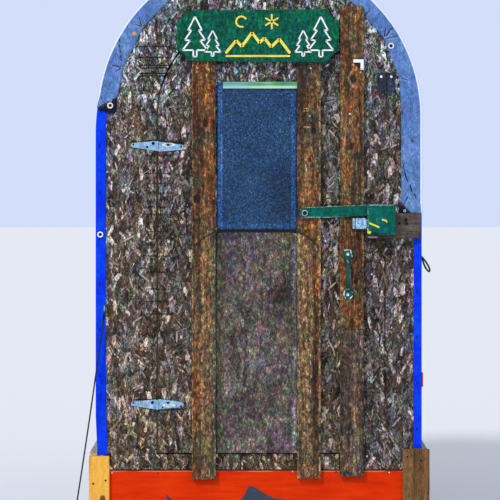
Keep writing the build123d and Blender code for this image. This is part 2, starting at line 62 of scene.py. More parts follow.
# Camera, from the photograph's own frame
PHOTO_SIDE = 500
MM_PER_PIXEL = 3.77
HUT_CENTRE_PIXEL = 259.6
GROUND_PIXEL = 578.0
HORIZON_PIXEL = 157.0
CAMERA_DISTANCE = 8.0
SENSOR = 36.0


def photo_x(pixel):
    """The X in metres, on the front wall, of a column of the photograph."""
    return (pixel - HUT_CENTRE_PIXEL) * MM_PER_PIXEL * MM


def photo_z(pixel):
    """The height in metres, on the front wall, of a row of the photograph."""
    return (GROUND_PIXEL - pixel) * MM_PER_PIXEL * MM


def paint(red, green, blue):
    """A colour as it shows on a screen, 0 to 255, made linear."""
    def linear(value):
        part = value / 255
        return part / 12.92 if part <= 0.04045 else ((part + 0.055) / 1.055) ** 2.4
    return (linear(red), linear(green), linear(blue), 1.0)


def at(column, row, y):
    """A pixel of the photograph as a place in metres, at the depth y."""
    return Vector((photo_x(column), y, photo_z(row)))


# Places read from the frame
face_y, leaf_y, batten_y, sign_y, skirt_y, corner_y, return_y = (
    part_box(node)[0][1] for node in (
        "front_wall_left", "door_leaf", "left_batten", "sign_board", "front_skirt",
        "front_left_corner_board", "roof_tarp"))
leaf_low, leaf_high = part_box("door_leaf")
panel_low, panel_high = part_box("lower_door_panel")
wall_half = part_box("front_rib")[1][0]
spring_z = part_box("front_wall_left")[1][2]
back_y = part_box("back_wall")[1][1]
depth = back_y - face_y
arc_length = math.pi * wall_half
pivots = {joint["name"]: joint["pos_m"] for joint in frame["joints"]}


# Shader arithmetic

def arithmetic(operation, swapped=False):
    """An operator of Field that adds one Math node."""
    def apply(self, other=0.0):
        pair = (other, self) if swapped else (self, other)
        return self.finish.node("Math", {0: pair[0], 1: pair[1]}, operation=operation)
    return apply


class Field:
    """A number or colour that varies over a surface, wrapped for plain arithmetic."""

    def __init__(self, finish, socket):
        self.finish = finish
        self.socket = socket

    __add__ = arithmetic("ADD")
    __radd__ = arithmetic("ADD")
    __sub__ = arithmetic("SUBTRACT")
    __rsub__ = arithmetic("SUBTRACT", swapped=True)
    __mul__ = arithmetic("MULTIPLY")
    __rmul__ = arithmetic("MULTIPLY")
    __truediv__ = arithmetic("DIVIDE")
    __pow__ = arithmetic("POWER")
    __gt__ = arithmetic("GREATER_THAN")
    __lt__ = arithmetic("LESS_THAN")
    least = arithmetic("MINIMUM")
    most = arithmetic("MAXIMUM")
    size = arithmetic("ABSOLUTE")
    cosine = arithmetic("COSINE")
    sine = arithmetic("SINE")
    root = arithmetic("SQRT")
    part = arithmetic("FRACT")
    exponent = arithmetic("EXPONENT")

    def also(self, output):
        """Another output of the same node."""
        return Field(self.finish, self.socket.node.outputs[output])

    def rise(self, low, high):
        """0 below low, 1 above high, and a smooth step between them."""
        return self.finish.node("MapRange", {"Value": self, "From Min": low, "From Max": high},
                                interpolation_type="SMOOTHSTEP")

    def near(self, reach, soft=0.8):
        """1 where the number is 0, falling to 0 where it is as much as reach."""
        return (1 - self.size() / reach).rise(0.0, soft)


FINISHES = {}


class Finish:
    """One procedural material, built node by node; shade is its colour so far."""

    def __init__(self, name, **constants):
        material = FINISHES[name] = bpy.data.materials.new(name)
        material.use_nodes = True
        self.tree = material.node_tree
        self.shader = self.tree.nodes["Principled BSDF"]
        self.place = self.node("TexCoord", result="Object")
        self.x, self.y, self.z = self.parts("XYZ", self.place)
        self.shade = None
        for socket, value in constants.items():
            title = socket.replace("_", " ").title().replace("Ior", "IOR")
            self.shader.inputs[title].default_value = value

    def node(self, kind, sockets=None, result=0, **settings):
        """Adds one node, its settings first, and returns one output of it."""
        made = self.tree.nodes.new("ShaderNode" + kind)
        for name, value in settings.items():
            setattr(made, name, value)
        for name, value in (sockets or {}).items():
            self.feed(made.inputs[name], value)
        return Field(self, made.outputs[result])

    def feed(self, socket, value):
        """Links a Field to a socket, or sets the socket to a constant."""
        if isinstance(value, Field):
            self.tree.links.new(value.socket, socket)
        else:
            socket.default_value = value

    def parts(self, kind, value):
        """The three numbers of a place, kind XYZ, or of a colour, kind Color."""
        first = self.node("Separate" + kind, {0: value})
        return first, first.also(1), first.also(2)

    def ramp(self, value, *stops):
        """A colour that goes through stops as value goes from 0 to 1."""
        made = self.node("ValToRGB", {"Fac": value})
        ramp = made.socket.node.color_ramp
        while len(ramp.elements) < len(stops):
            ramp.elements.new(0.5)
        for element, (position, *colour) in zip(ramp.elements, stops):
            element.position = position
            element.color = colour[0] if len(colour) == 1 else paint(*colour)
        return made

    def blend(self, mask, under, over, way="MIX"):
        """The colour over laid on the colour under, where mask is 1."""
        return self.node("Mix", {0: mask, 6: under, 7: over}, 2, data_type="RGBA",
                         blend_type=way, clamp_result=True)

    def lay(self, mask, over, way="MIX"):
        """Lays a colour on the shade so far, where mask is 1."""
        self.shade = self.blend(mask, self.shade, over, way)

    def dim(self, mask, red, green, blue):
        """Multiplies the shade so far by a colour, where mask is 1."""
        self.lay(mask, (red, green, blue, 1.0), "MULTIPLY")

    def stretched(self, scales, place=None, shift=(0.0, 0.0, 0.0)):
        """A place with each axis scaled, so that a pattern runs along one."""
        return self.node("Mapping", {"Vector": place or self.place, "Scale": scales,
                                     "Location": shift})

    def where(self, place):
        """A place as given, or the object's own one with its axes scaled."""
        return self.stretched(place) if isinstance(place, tuple) else place or self.place

    def point(self, x, y, z=0.0):
        """A place made of three numbers."""
        return self.node("CombineXYZ", {0: x, 1: y, 2: z})

    def noise(self, scale, detail=3.0, place=None, rough=0.55, warp=0.0, result=0):
        """Soft noise from 0 to 1, or its colours, whose parts go their own ways."""
        return self.node("TexNoise", {"Vector": self.where(place), "Scale": scale,
                                      "Detail": detail, "Roughness": rough,
                                      "Distortion": warp}, result)

    def cells(self, scale, place):
        """Three chances from 0 to 1 for each cell round scattered points."""
        return self.parts("Color", self.node("TexVoronoi", {
            "Vector": self.where(place), "Scale": scale}, "Color"))

    def grit(self, colour, strength, hue=1.0, place=None):
        """Breaks a colour up into fine light and dark, its hue shifting here and there."""
        tall = self.stretched((1.0, 1.0, 0.6), place)
        for scale, detail, rough in ((34.0, 5.0, 0.75), (105.0, 4.0, 0.8)):
            stains = self.noise(scale, detail, tall, rough, result="Color")
            colour = self.blend(hue, colour, stains, "OVERLAY")
        coarse = self.noise(82.0, 5.0, tall, 0.8)
        fine = self.noise(240.0, 3.0, self.stretched((1.0, 1.0, 0.4), place), 0.8)
        power = ((coarse - 0.5) * 7.0 + (fine - 0.5) * 5.0 - 0.12) * strength
        lit = self.node("VectorMath", {0: colour, 1: power.exponent()}, operation="MULTIPLY")
        return self.node("VectorMath", {0: lit, 1: (0.86, 0.86, 0.86)}, operation="MINIMUM")

    def bump(self, height, relief):
        """Relief from a height field; relief is its full height in metres."""
        made = self.node("Bump", {"Height": height, "Distance": relief, "Strength": 1.0})
        self.feed(self.shader.inputs["Normal"], made)

    def done(self, rough, height, relief):
        """Links the shade, the roughness and the relief to the shader."""
        self.feed(self.shader.inputs["Base Color"], self.shade)
        self.feed(self.shader.inputs["Roughness"], rough)
        self.bump(height, relief)
        return self

    def spot(self, x, z, half_width, half_height, soft=0.6):
        """1 at a point of the front view, falling to 0 at its edge."""
        across = (self.x - x) / half_width
        up = (self.z - z) / half_height
        return (1 - (across * across + up * up).root()).rise(0.0, soft)

    def crease(self, start, stop, width):
        """1 on a line of the front view, from pixel to pixel, thin at its far end."""
        x0, z0 = photo_x(start[0]), photo_z(start[1])
        run_x, run_z = photo_x(stop[0]) - x0, photo_z(stop[1]) - z0
        length = math.hypot(run_x, run_z)
        dx, dz = self.x - x0, self.z - z0
        along = (dx * run_x + dz * run_z) / (length * length)
        aside = (dx * run_z - dz * run_x) / length
        ends = (0.5 - (along - 0.5).size()).rise(-0.02, 0.12)
        return aside.near(width * (1.1 - along * 0.6), 0.7) * ends

    def beyond(self, x0, z0, x1, z1):
        """How far a place of the front view lies outside a bar."""
        across = (self.x - (x0 + x1) / 2).size() - (x1 - x0) / 2
        up = (self.z - (z0 + z1) / 2).size() - (z1 - z0) / 2
        return across.most(up)

    def bar(self, x0, z0, x1, z1, soft=0.0015):
        """1 inside an upright or level bar of the front view."""
        return (0 - self.beyond(x0, z0, x1, z1)).rise(-soft, soft)


def most_of(masks):
    """The greatest of several masks at each place."""
    return functools.reduce(Field.most, masks)


def shaded(colour, amount):
    """A colour made darker, or lighter where amount is over 1."""
    return tuple(min(1.0, part * amount) for part in colour[:3]) + (1.0,)


# Strand board

STRAND_LAYERS = (
    # cell, length to width, half width, half length, lean, share shown, lift, light, cover
    (0.032, 2.2, 0.014, 0.04, 0.45, 1, 0.2, -0.02, 0.85),
    (0.026, 2.4, 0.01, 0.036, 0.55, 0.8, 0.4, 0.02, 0.85),
    (0.021, 2, 0.007, 0.024, 0.8, 0.55, 0.6, 0.06, 0.88),
    (0.026, 1.9, 0.008, 0.024, 0.7, 0.3, 0.85, 0.36, 0.92),
    (0.017, 2.4, 0.003, 0.018, 1.1, 0.32, 1, 0.34, 0.9),
)
STRAND_TONES = (
    (0, 24, 18, 17), (0.15, 48, 38, 34), (0.28, 86, 68, 50),
    (0.4, 62, 56, 62), (0.52, 108, 94, 74), (0.62, 84, 94, 94),
    (0.72, 138, 122, 112), (0.82, 128, 136, 164), (0.9, 190, 160, 118),
    (1, 222, 208, 206),
)


def strand_layer(board, bend, seed, cell, longer, half_width, half_length, lean, share):
    """One layer of strands: where they lie, their tone, the painted shade round their edges, and
    their grain.
    """
    across = board.x + board.y * 0.7 + seed * 1.37
    along = board.z + seed * 2.11
    site = board.node("TexVoronoi", {"Vector": board.point(across, along / longer),
                                     "Scale": 1 / cell}, "Position",
                      voronoi_dimensions="2D")
    chance, tone, shown = board.parts("Color", site.also("Color"))
    centre_x, centre_z, _ = board.parts("XYZ", site)
    dx = across - centre_x + bend
    dz = along - centre_z * longer
    angle = (chance - 0.5) * (2 * lean)
    cosine = angle.cosine()
    sine = angle.sine()
    u = dx * cosine + dz * sine
    v = dz * cosine - dx * sine
    ragged = board.noise(190.0, 2.0) * 0.7 + 0.65
    room = half_width * (0.5 + tone * 0.8) * ragged - u.size()
    ends = half_length * ragged - v.size() - u.size() * 0.4
    inside = room.least(ends)
    mask = inside.rise(0.0, 0.0012) * (shown < share)
    # rim: painted shade along each strand's edge, standing in for the shade where strands lie
    # over each other
    rim = 1 - inside.rise(0.0004, 0.0024)
    grain = board.noise(1.0, 3.0, board.point(u * 620.0, v * 60.0, tone * 61.0), 0.7)
    tilt = u / half_width * (chance - 0.5)
    return mask, tone, rim, grain, tilt


def strand_board(name, light=1.0):
    """Dark weathered strand board: five layers of strands over each other."""
    board = Finish(name, specular_ior_level=0.25)
    fine = board.noise(1100.0, 3.0, (1.0, 1.0, 0.35), 0.7)
    board.shade = board.ramp(board.noise(80.0, 4.0, (1.0, 1.0, 0.3)), (0.3, 30, 24, 22),
                             (0.5, 70, 60, 52), (0.72, 108, 94, 82))
    height = board.noise(60.0, 2.0) * 0.2
    bend = (board.noise(26.0, 3.0) - 0.5) * 0.014
    for number, (*strands, lift, shift, cover) in enumerate(STRAND_LAYERS):
        mask, tone, rim, grain, tilt = strand_layer(board, bend, number + 1, *strands)
        shade = (tone * 5.3 + number * 0.37).part() * 0.88
        strand = board.ramp(shade + (grain - 0.5) * 0.7 + 0.01 + shift, *STRAND_TONES)
        # painted shade round the strand's edge
        strand = board.blend(rim * 0.5, strand, (0.2, 0.17, 0.15, 1.0), "MULTIPLY")
        board.lay(mask * cover, strand)
        height = height * (1 - mask) + mask * (
            lift + tone * 0.25 + tilt * 0.3 + grain * 0.2)
    stain = board.noise(3.2, 5.0, (1.0, 1.0, 0.5), 0.6)
    board.dim((0.6 - stain).rise(0.0, 0.22) * 0.35, 0.5, 0.45, 0.4)
    board.lay(stain.rise(0.55, 0.75) * 0.25, paint(126, 124, 134))
    tint = board.noise(21.0, 3.0, board.stretched((1.0, 1.0, 0.5), shift=(3.0, 0.0, 1.0)))
    board.lay(tint.rise(0.56, 0.7) * 0.3, paint(128, 92, 56))
    board.lay((0.47 - tint).rise(0.0, 0.12) * 0.4, paint(90, 106, 116))
    board.shade = board.grit(board.shade, 1.12, 0.7)
    high = board.z.rise(photo_z(125), photo_z(80))
    board.lay(high * 0.8, board.grit(board.shade, 0.5, 0.6))
    far_left = (0 - board.x - 0.4).rise(0.0, 0.04)
    board.lay(far_left * 0.24, (1.0, 1.0, 1.0, 1.0), "DODGE")
    board.lay(high * 0.42, (0.4, 0.78, 1.0, 1.0), "DODGE")
    aside = (0.35 - board.x).rise(0.0, 0.02)
    board.dim((1 - board.z.rise(photo_z(300), photo_z(200))) * aside, 1.0, 0.95, 0.82)
    board.dim((1 - board.z.rise(photo_z(425), photo_z(400))) * aside, 1.0, 0.97, 0.85)
    # painted shade on the door between the middle and right battens
    between = board.bar(photo_x(321), photo_z(207), photo_x(342), photo_z(66), 0.008)
    board.dim(between, 0.7, 0.72, 0.64)
    board.dim(fine.rise(0.52, 0.75) * 0.5, 0.26, 0.23, 0.21)
    specks = board.noise(190.0, 3.0, (1.0, 1.0, 0.6), 0.6)
    board.lay(specks.rise(0.64, 0.72) * 0.7, paint(226, 218, 216))
    pits = (0.42 - board.noise(95.0, 4.0, (1.0, 1.0, 0.7), 0.65)).rise(0.0, 0.06)
    board.dim(pits * 0.85, 0.08, 0.06, 0.06)
    board.dim(printed_rules(board) * specks.rise(0.32, 0.42), 0.07, 0.06, 0.07)
    board.dim(joint_shade(board), 0.06, 0.05, 0.05)
    board.dim(1.0, light, light, light)
    board.done(0.7 + fine * 0.24, height + fine * 0.25 - pits * 0.5, 0.0034)


PRINTED_ROWS = (46.5, 57.5, 65.5, 68.0, 73.5, 76.0, 126.0, 155.0, 173.5, 183.5, 207.0, 214.5,
                231.5, 238.8, 256.0, 272.0, 289.0, 301.5, 314.0)


def printed_rules(board):
    """The faded rules and tick marks that a mill prints on strand board."""
    rules = []
    for row in PRINTED_ROWS:
        left, right, ink = (139, 171, 1.0) if row < 80 else (146, 174, 0.8)
        rules.append(ink * board.bar(photo_x(left), photo_z(row) - 0.0027,
                                     photo_x(right), photo_z(row) + 0.0027))
    ticks = (board.x * (TURN / 0.0125)).sine().rise(0.3, 0.6)
    levels = (board.z * (TURN / 0.0278)).sine().rise(0.25, 0.5)
    field = board.bar(photo_x(147), photo_z(262), photo_x(172), photo_z(150), 0.006)
    return most_of(rules).most(ticks * levels * field * 0.9)


DOOR_GAP = 0.005
door_middle = (leaf_low[0] + leaf_high[0]) / 2
door_radius = (leaf_high[0] - leaf_low[0] + DOOR_GAP) / 2
door_spring = leaf_high[2] + DOOR_GAP / 2 - door_radius
# The patch let into the wall beside the door: left, low, right, high
PATCH = (0.3845, 0.701, 0.472, 1.229)
HINGE_SHADE = (
    # pixels: start, stop, along the hinges' edges
    ((129.5, 142), (165, 139.6)), ((188, 144.3), (152, 139.8)),
    ((129.5, 146.9), (165, 152.2)), ((188, 149.8), (152, 152)),
    ((129.5, 400.2), (165, 398.4)), ((188, 403.2), (152, 398.6)),
    ((129.5, 405.6), (165, 410.8)), ((188, 408.8), (152, 410.6)),
)


def joint_shade(board):
    """Painted shade along the door's edge, round the patch in the wall and along the hinges'
    edges.
    """
    over = (board.z - door_spring).most(0.0)
    beside = board.x - door_middle
    side = (beside * beside + over * over).root() - door_radius
    side = side.near(0.0062) * (board.z > leaf_low[2])
    sill = (board.z - leaf_low[2] + DOOR_GAP / 2).near(0.0062)
    sill = sill * (beside.size() < door_radius)
    patch = board.beyond(*PATCH).near(0.004)
    shade = side.most(sill).most(patch * 0.8) * 0.92
    hinges = most_of(board.crease(start, stop, 0.0042) for start, stop in HINGE_SHADE)
    return shade.most(hinges * 0.9) * (board.y < 0.1)


# Timber

def timber(name, tones, grain_axis="z", knots=(), scale=1.0, wear=0.5, second=None,
           contrast=1.0, grit=0.0):
    """Sawn wood with its grain along one axis and knots that turn it."""
    wood = Finish(name, specular_ior_level=0.25)
    long_axis = {"x": wood.x, "y": wood.y, "z": wood.z}[grain_axis]
    side = wood.x if grain_axis == "z" else wood.z
    deep = wood.x if grain_axis == "y" else wood.y
    cores = []
    bend = (wood.noise(6.0, 3.0) - 0.5) * 0.02
    for column, row, size in knots:
        radius = size * MM
        du = (side - photo_x(column)) / radius
        dv = (long_axis - photo_z(row)) / (radius * 1.6)
        far = (du * du + dv * dv).root()
        bend = bend + du / (1 + far * far * far) * radius
        cores.append((1 - far * 0.9).rise(0.0, 0.35))
    across = side - bend
    rings = wood.point(across, long_axis * 0.06, deep * 0.6)
    broad = wood.noise(30.0 * scale, 4.0, rings, 0.6, 0.6)
    lines = wood.noise(210.0 * scale, 3.0, rings, 0.7)
    fine = wood.noise(1.0, 3.0, wood.point(across * 1500.0, long_axis * 55.0,
                                           deep * 900.0), 0.7)
    tone = 0.5 + ((broad - 0.5) * 1.1 + (lines - 0.5) * 0.75 + (fine - 0.5) * 0.45) * contrast
    wood.shade = wood.ramp(tone, *tones)
    if second:
        patch = wood.noise(13.0, 5.0, wood.point(across, long_axis * 0.4, deep), 0.65)
        wood.lay(patch.rise(0.44, 0.6), wood.ramp(tone, *second))
    blotches = {"x": (0.8, 1.8, 1.8), "y": (1.8, 0.4, 1.8), "z": (1.8, 1.8, 0.8)}[grain_axis]
    dirt = wood.noise(14.0, 6.0, blotches, 0.65)
    wood.dim(dirt.rise(0.48, 0.66) * wear, 0.34, 0.3, 0.26)
    cracks = lines.rise(0.62, 0.7) * broad.rise(0.45, 0.6)
    wood.dim(cracks * 0.75, 0.22, 0.17, 0.13)
    wood.lay(fine.rise(0.6, 0.75) * lines.rise(0.5, 0.6) * 0.35, paint(*tones[-1][1:]))
    wood.height = broad * 0.35 + lines * 0.45 + fine * 0.3 - cracks * 0.7
    if cores:
        core = most_of(cores)
        wood.dim(core * 0.9, 0.1, 0.05, 0.03)
        wood.height = wood.height - core * 0.4
    wood.tone, wood.lines, wood.coarseness = tone, lines, grit
    coat_timber(wood)
    return wood


def coat_timber(wood):
    """Puts a timber's own shade on it, with weathering over all of it."""
    weathered = wood.shade
    if wood.coarseness:
        weathered = wood.grit(wood.shade, wood.coarseness, min(0.85, wood.coarseness * 1.2))
    wood.feed(wood.shader.inputs["Base Color"], weathered)
    wood.feed(wood.shader.inputs["Roughness"], 0.6 + wood.lines * 0.24)
    wood.bump(wood.height, 0.0016)


RUST_TONES = ((0.16, 28, 17, 11), (0.34, 66, 40, 22), (0.5, 102, 64, 34),
              (0.66, 134, 84, 42), (0.88, 178, 122, 66))
OLIVE_TONES = ((0.16, 24, 20, 14), (0.34, 54, 44, 30), (0.5, 80, 67, 46),
               (0.66, 104, 88, 62), (0.88, 142, 124, 92))
DUSK_TONES = ((0.16, 24, 22, 20), (0.34, 48, 42, 38), (0.5, 74, 64, 56),
              (0.66, 98, 84, 70), (0.88, 132, 116, 98))
TAN_TONES = ((0.16, 44, 32, 22), (0.34, 84, 66, 46), (0.5, 114, 92, 64),
             (0.66, 140, 112, 78), (0.88, 176, 144, 104))
GREY_TONES = ((0.16, 38, 32, 30), (0.36, 66, 58, 54),
              (0.55, 94, 84, 76), (0.8, 136, 124, 112))
PALE_TONES = ((0.16, 120, 108, 92), (0.36, 156, 144, 124),
              (0.55, 178, 166, 146), (0.8, 204, 194, 176))
PINE_TONES = ((0.16, 196, 128, 34), (0.4, 226, 164, 58),
              (0.6, 240, 184, 76), (0.85, 252, 212, 112))
BROWN_TONES = ((0.16, 50, 32, 16), (0.4, 96, 66, 36),
               (0.6, 126, 90, 52), (0.85, 160, 120, 74))
SAWN_TONES = ((0.2, 140, 104, 62), (0.45, 180, 142, 94),
              (0.6, 202, 166, 116), (0.82, 222, 192, 146))
FRESH_TONES = ((0.2, 120, 66, 18), (0.5, 196, 120, 36),
               (0.85, 236, 168, 76))

# The lower insert's arched top, which is scribed on the boards beside it
ARCH_TOP = photo_z(232.0)
ARCH_DROP = 0.046
ARCH_FLAT = 0.152
ARCH_RUN = 0.072
panel_middle = (panel_low[0] + panel_high[0]) / 2


def scribe_arch(wood, inner, outer, tan_edge):
    """Tones the part of a batten that lies under the insert's arched top, with a painted shadow
    along the arch.
    """
    reach = (wood.x - panel_middle).size()
    away = (reach - ARCH_FLAT).most(0.0) / ARCH_RUN
    above = wood.z - (ARCH_TOP - away ** 1.5 * ARCH_DROP)
    under = (0 - above).rise(-0.001, 0.002)
    band = wood.bar(min(inner, tan_edge), 0.0, max(inner, tan_edge), 3.0)
    wood.lay(under * band * 0.8, wood.ramp(wood.tone, *TAN_TONES))
    if inner < panel_middle:
        strip = wood.bar(inner - 0.019, 0.0, inner, 3.0)
        wood.lay(under * strip * 0.8, wood.ramp(
            wood.tone, (0.2, 36, 40, 30), (0.5, 74, 74, 58), (0.85, 110, 108, 88)))
    arch_end = ARCH_FLAT + ARCH_RUN
    # painted shadow along the arch line, over a shallow groove in the relief
    shaded_score = above.near(0.0044) * (1 - reach.rise(arch_end, arch_end + 0.004))
    wood.lay(shaded_score * 0.85, paint(16, 12, 10))
    worn = wood.noise(22.0, 4.0, wood.point(wood.z, outer)).rise(0.42, 0.56)
    wood.lay((wood.x - outer).near(0.005, 0.6) * worn * 0.5, paint(184, 148, 100))
    wood.height = wood.height - shaded_score * 1.2


def add_streak(wood, rows, columns, amount=0.8):
    """A bright stretch of fresh wood down one side of a batten."""
    low, high = (photo_z(row) for row in rows)
    x0, x1 = (photo_x(column) for column in columns)
    wave = (wood.noise(24.0, 4.0, wood.point(wood.z, 0.0), 0.65) - 0.5) * 0.036
    inside = ((x1 - x0) / 2 - (wood.x + wave - (x0 + x1) / 2).size()).rise(-0.002, 0.004)
    ends = (wood.z - low).rise(0.0, 0.02) * (high - wood.z).rise(0.0, 0.02)
    ends = ends * wood.noise(60.0, 3.0).rise(0.4, 0.56)
    wood.lay(inside * ends * amount, wood.ramp(wood.tone, *FRESH_TONES))


# Metal, paint and cloth

def plain_metal(name, base, metallic, roughness, marks=0.3, scale=60.0, gloss=0.5):
    """Metal with blotches, fine scratches and duller patches."""
    metal = Finish(name, metallic=metallic, specular_ior_level=gloss)
    blotch = metal.noise(scale, 4.0)
    scratch = metal.noise(700.0, 2.0, (0.06, 1.0, 1.0))
    dull = blotch.rise(0.42, 0.7)
    base = paint(*base)
    metal.shade = metal.blend(dull * marks, base, shaded(base, 0.55))
    metal.lay(scratch.rise(0.58, 0.75) * 0.4, shaded(base, 1.6))
    metal.shade = metal.grit(metal.shade, marks * 0.6, marks * 0.6)
    metal.done(roughness + dull * 0.18 + scratch * 0.1, blotch * 0.5 + scratch * 0.5, 0.0003)


def enamel(name, base, bare, chip=0.66, gloss=0.25, streaks=0.5, grit=0.0, worn=()):
    """Brushed paint with chips that show what is under it, and pale edge lines: painted
    highlights, partly worn paint.
    """
    coat = Finish(name, specular_ior_level=gloss)
    streak = coat.noise(180.0, 3.0, (0.15, 1.0, 1.0))
    patch = coat.noise(24.0, 5.0, rough=0.65)
    chips = (patch * 0.6 + coat.noise(160.0, 3.0) * 0.5).rise(chip, chip + 0.03)
    base = paint(*base)
    coat.shade = coat.ramp(streak * streaks + patch * (1 - streaks),
                           (0.32, shaded(base, 0.62)), (0.52, base), (0.74, shaded(base, 1.5)))
    coat.lay(chips, paint(*bare))
    if grit:
        coat.shade = coat.grit(coat.shade, grit, min(1.0, grit * 2))
    # worn: pale lines laid along edges, painted highlights (on the bar also worn paint)
    for lines, bright, width, amount in worn:
        ragged = coat.noise(120.0, 3.0).rise(0.36, 0.54)
        for start, stop in lines:
            coat.lay(coat.crease(start, stop, width) * ragged * amount, paint(*bright))
    coat.done(0.4 + patch * 0.2 + chips * 0.3, streak * 0.3 - chips * 0.6, 0.0004)


# creases round the staples, drawn as painted shade with a painted highlight beside each
TARP_CREASES = (
    # pixels: start, stop; then half width in metres
    ((143, 27.5), (135.5, 24.2), 0.0034), ((143.2, 27), (137, 21.6), 0.0026),
    ((142, 26), (139, 17.5), 0.0018), ((121.5, 67.8), (111.5, 65), 0.0036),
    ((121, 68), (115, 71.6), 0.002), ((384.4, 37), (385.6, 26.5), 0.0026),
    ((385.5, 36.5), (392, 27.5), 0.003), ((391.5, 27.8), (394.5, 32.4), 0.0022),
    ((386, 38.5), (398, 36), 0.0016), ((400.6, 78), (408.5, 80.5), 0.0018),
    ((363.6, 17), (370.5, 9), 0.002), ((100.5, 97), (107, 105.5), 0.002),
    ((401.5, 150), (409, 158), 0.0014), ((408, 196), (403, 205), 0.0018),
)


def roof_tarp_ends():
    """Where the roof tarp's left and right hems lie along the hut's outline."""
    ends = []
    for side in (-1, 1):
        low = min(vert.co.z for vert in nodes["roof_tarp"].data.vertices
                  if vert.co.x * side > wall_half * 0.9)
        ends.append(low - spring_z if side < 0 else arc_length + spring_z - low)
    return ends


PACKED_FOLD = 0.405
HEM_WIDTH = 0.032
THREAD = 0.0016


def woven_tarp(name, tones, crease=0.5, rim=None, hems=()):
    """Coated plastic cloth: a fine plain weave, the folds it was packed in, and hems."""
    cloth = Finish(name, specular_ior_level=0.06)
    uv = cloth.node("UVMap", uv_map="cloth")
    warp, weft, _ = cloth.parts("XYZ", uv)
    weave = (warp * (TURN / THREAD)).sine() * (weft * (TURN / THREAD)).sine() * 0.5 + 0.5
    broad = cloth.noise(5.0, 4.0, uv, 0.5, 0.4)
    folds = cloth.noise(16.0, 4.0, uv, 0.6, 1.0)
    facet = cloth.cells(9.0, uv)[0]
    # tone: broad variation, with painted light and shade over the folds and the crumpled facets
    tone_and_fold_shade = broad * 0.34 + folds * 0.32 + (facet - 0.5) * 0.1 * crease + 0.18 + weave * 0.04
    cloth.shade = cloth.ramp(tone_and_fold_shade, *tones)
    grime = cloth.noise(11.0, 5.0, cloth.place, 0.65)
    cloth.dim(grime.rise(0.56, 0.76) * 0.3, 0.45, 0.44, 0.42)
    front = cloth.grit(cloth.shade, 0.5 * crease, 0.4)
    packed = most_of((run * (math.pi / PACKED_FOLD)).sine().near(0.022, 1.0)
                     for run in (warp, weft))
    crumple = cloth.noise(26.0, 5.0, uv, 0.62, 1.6)
    ribbed = (crumple - 0.5).size().rise(0.0, 0.1)
    for line in hems:
        band = (warp - line).size()
        seam = (band - HEM_WIDTH).near(0.0016, 0.6)
        cloth.dim((1 - band.rise(HEM_WIDTH - 0.001, HEM_WIDTH + 0.001)) * 0.22,
                  0.66, 0.7, 0.8)
        cloth.dim(seam * 0.5, 0.4, 0.44, 0.6)
        packed = packed.most(seam)
    cloth.lay(packed * grime.rise(0.35, 0.6) * 0.3, paint(*tones[-1][1:]))
    # painted shade along the crumpled creases
    cloth.dim((1 - ribbed) * 0.16, 0.5, 0.54, 0.62)
    side = cloth.grit(cloth.shade, 0.16 * crease, 0.12)
    beyond = cloth.y.rise(face_y + 0.003, face_y + 0.005)
    cloth.shade = cloth.blend(beyond, front, side)
    height = (weave * 0.08 + facet * crease * 0.3 + folds * 0.5
              + (packed * 0.7 + ribbed * 0.5) * beyond)
    if rim:
        rim = paint(*rim)
        for start, stop, width in TARP_CREASES:
            # painted shade in the crease, and a painted highlight along its side
            line = cloth.crease(start, stop, width * 1.3)
            cloth.lay(line * 0.95, paint(10, 16, 40))
            beside = cloth.crease((start[0] + 1.2, start[1] + 1.4),
                                  (stop[0] + 1.4, stop[1] + 1.6), width * 1.4)
            cloth.lay(beside * 0.16, rim)
            height = height - line * 0.5
        # painted highlight along the tarp's folded outer edge
        cloth.lay((weft + 0.0035).near(0.0065, 0.5) * 0.9, rim)
    cloth.done(0.46 + broad * 0.18 + weave * 0.06, height, 0.002)


# pale lines along the bar's and the hood's edges: painted highlights, broken like worn paint
BAR_HIGHLIGHTS = (
    # pixels: start, stop
    ((304, 207.4), (334, 206.2)), ((366, 204.7), (326, 206.4)),
    ((302, 216.8), (334, 217.2)), ((352, 216.8), (322, 217.1)),
    ((367, 233), (366.8, 204)), ((366.6, 204.6), (394, 204.6)),
    ((300.6, 214.5), (300.8, 209)),
)
# painted highlights on the rims of the handle's pads and along its grip
HANDLE_HIGHLIGHTS = (
    ((343.6, 249.9), (350.5, 249.5)), ((350, 249.4), (352.3, 257.5)),
    ((343.3, 294), (344.6, 289.6)), ((343, 293), (345.5, 298.6)),
    ((349, 298.9), (352.4, 295)),
)
HANDLE_GLINTS = (
    ((349.6, 268), (349.8, 286)), ((346.5, 259.5), (348.2, 262.5)),
    ((351.4, 290.2), (352.2, 293)), ((345, 289), (349.5, 288.2)),
)


# Finishes of this hut, looked up by their names

BATTEN_KNOTS = {
    # column, row, radius in millimetres
    "left": ((205.5, 123, 11), (196.6, 199, 12), (213, 202, 8), (203.5, 367.5, 10),
             (202, 471.5, 10)),
    "middle": ((313.6, 131, 10), (309, 160, 7), (317, 175, 8), (306, 300, 9)),
    "right": ((353, 79, 12), (351, 146, 10), (356, 280, 9), (350, 430, 10)),
}


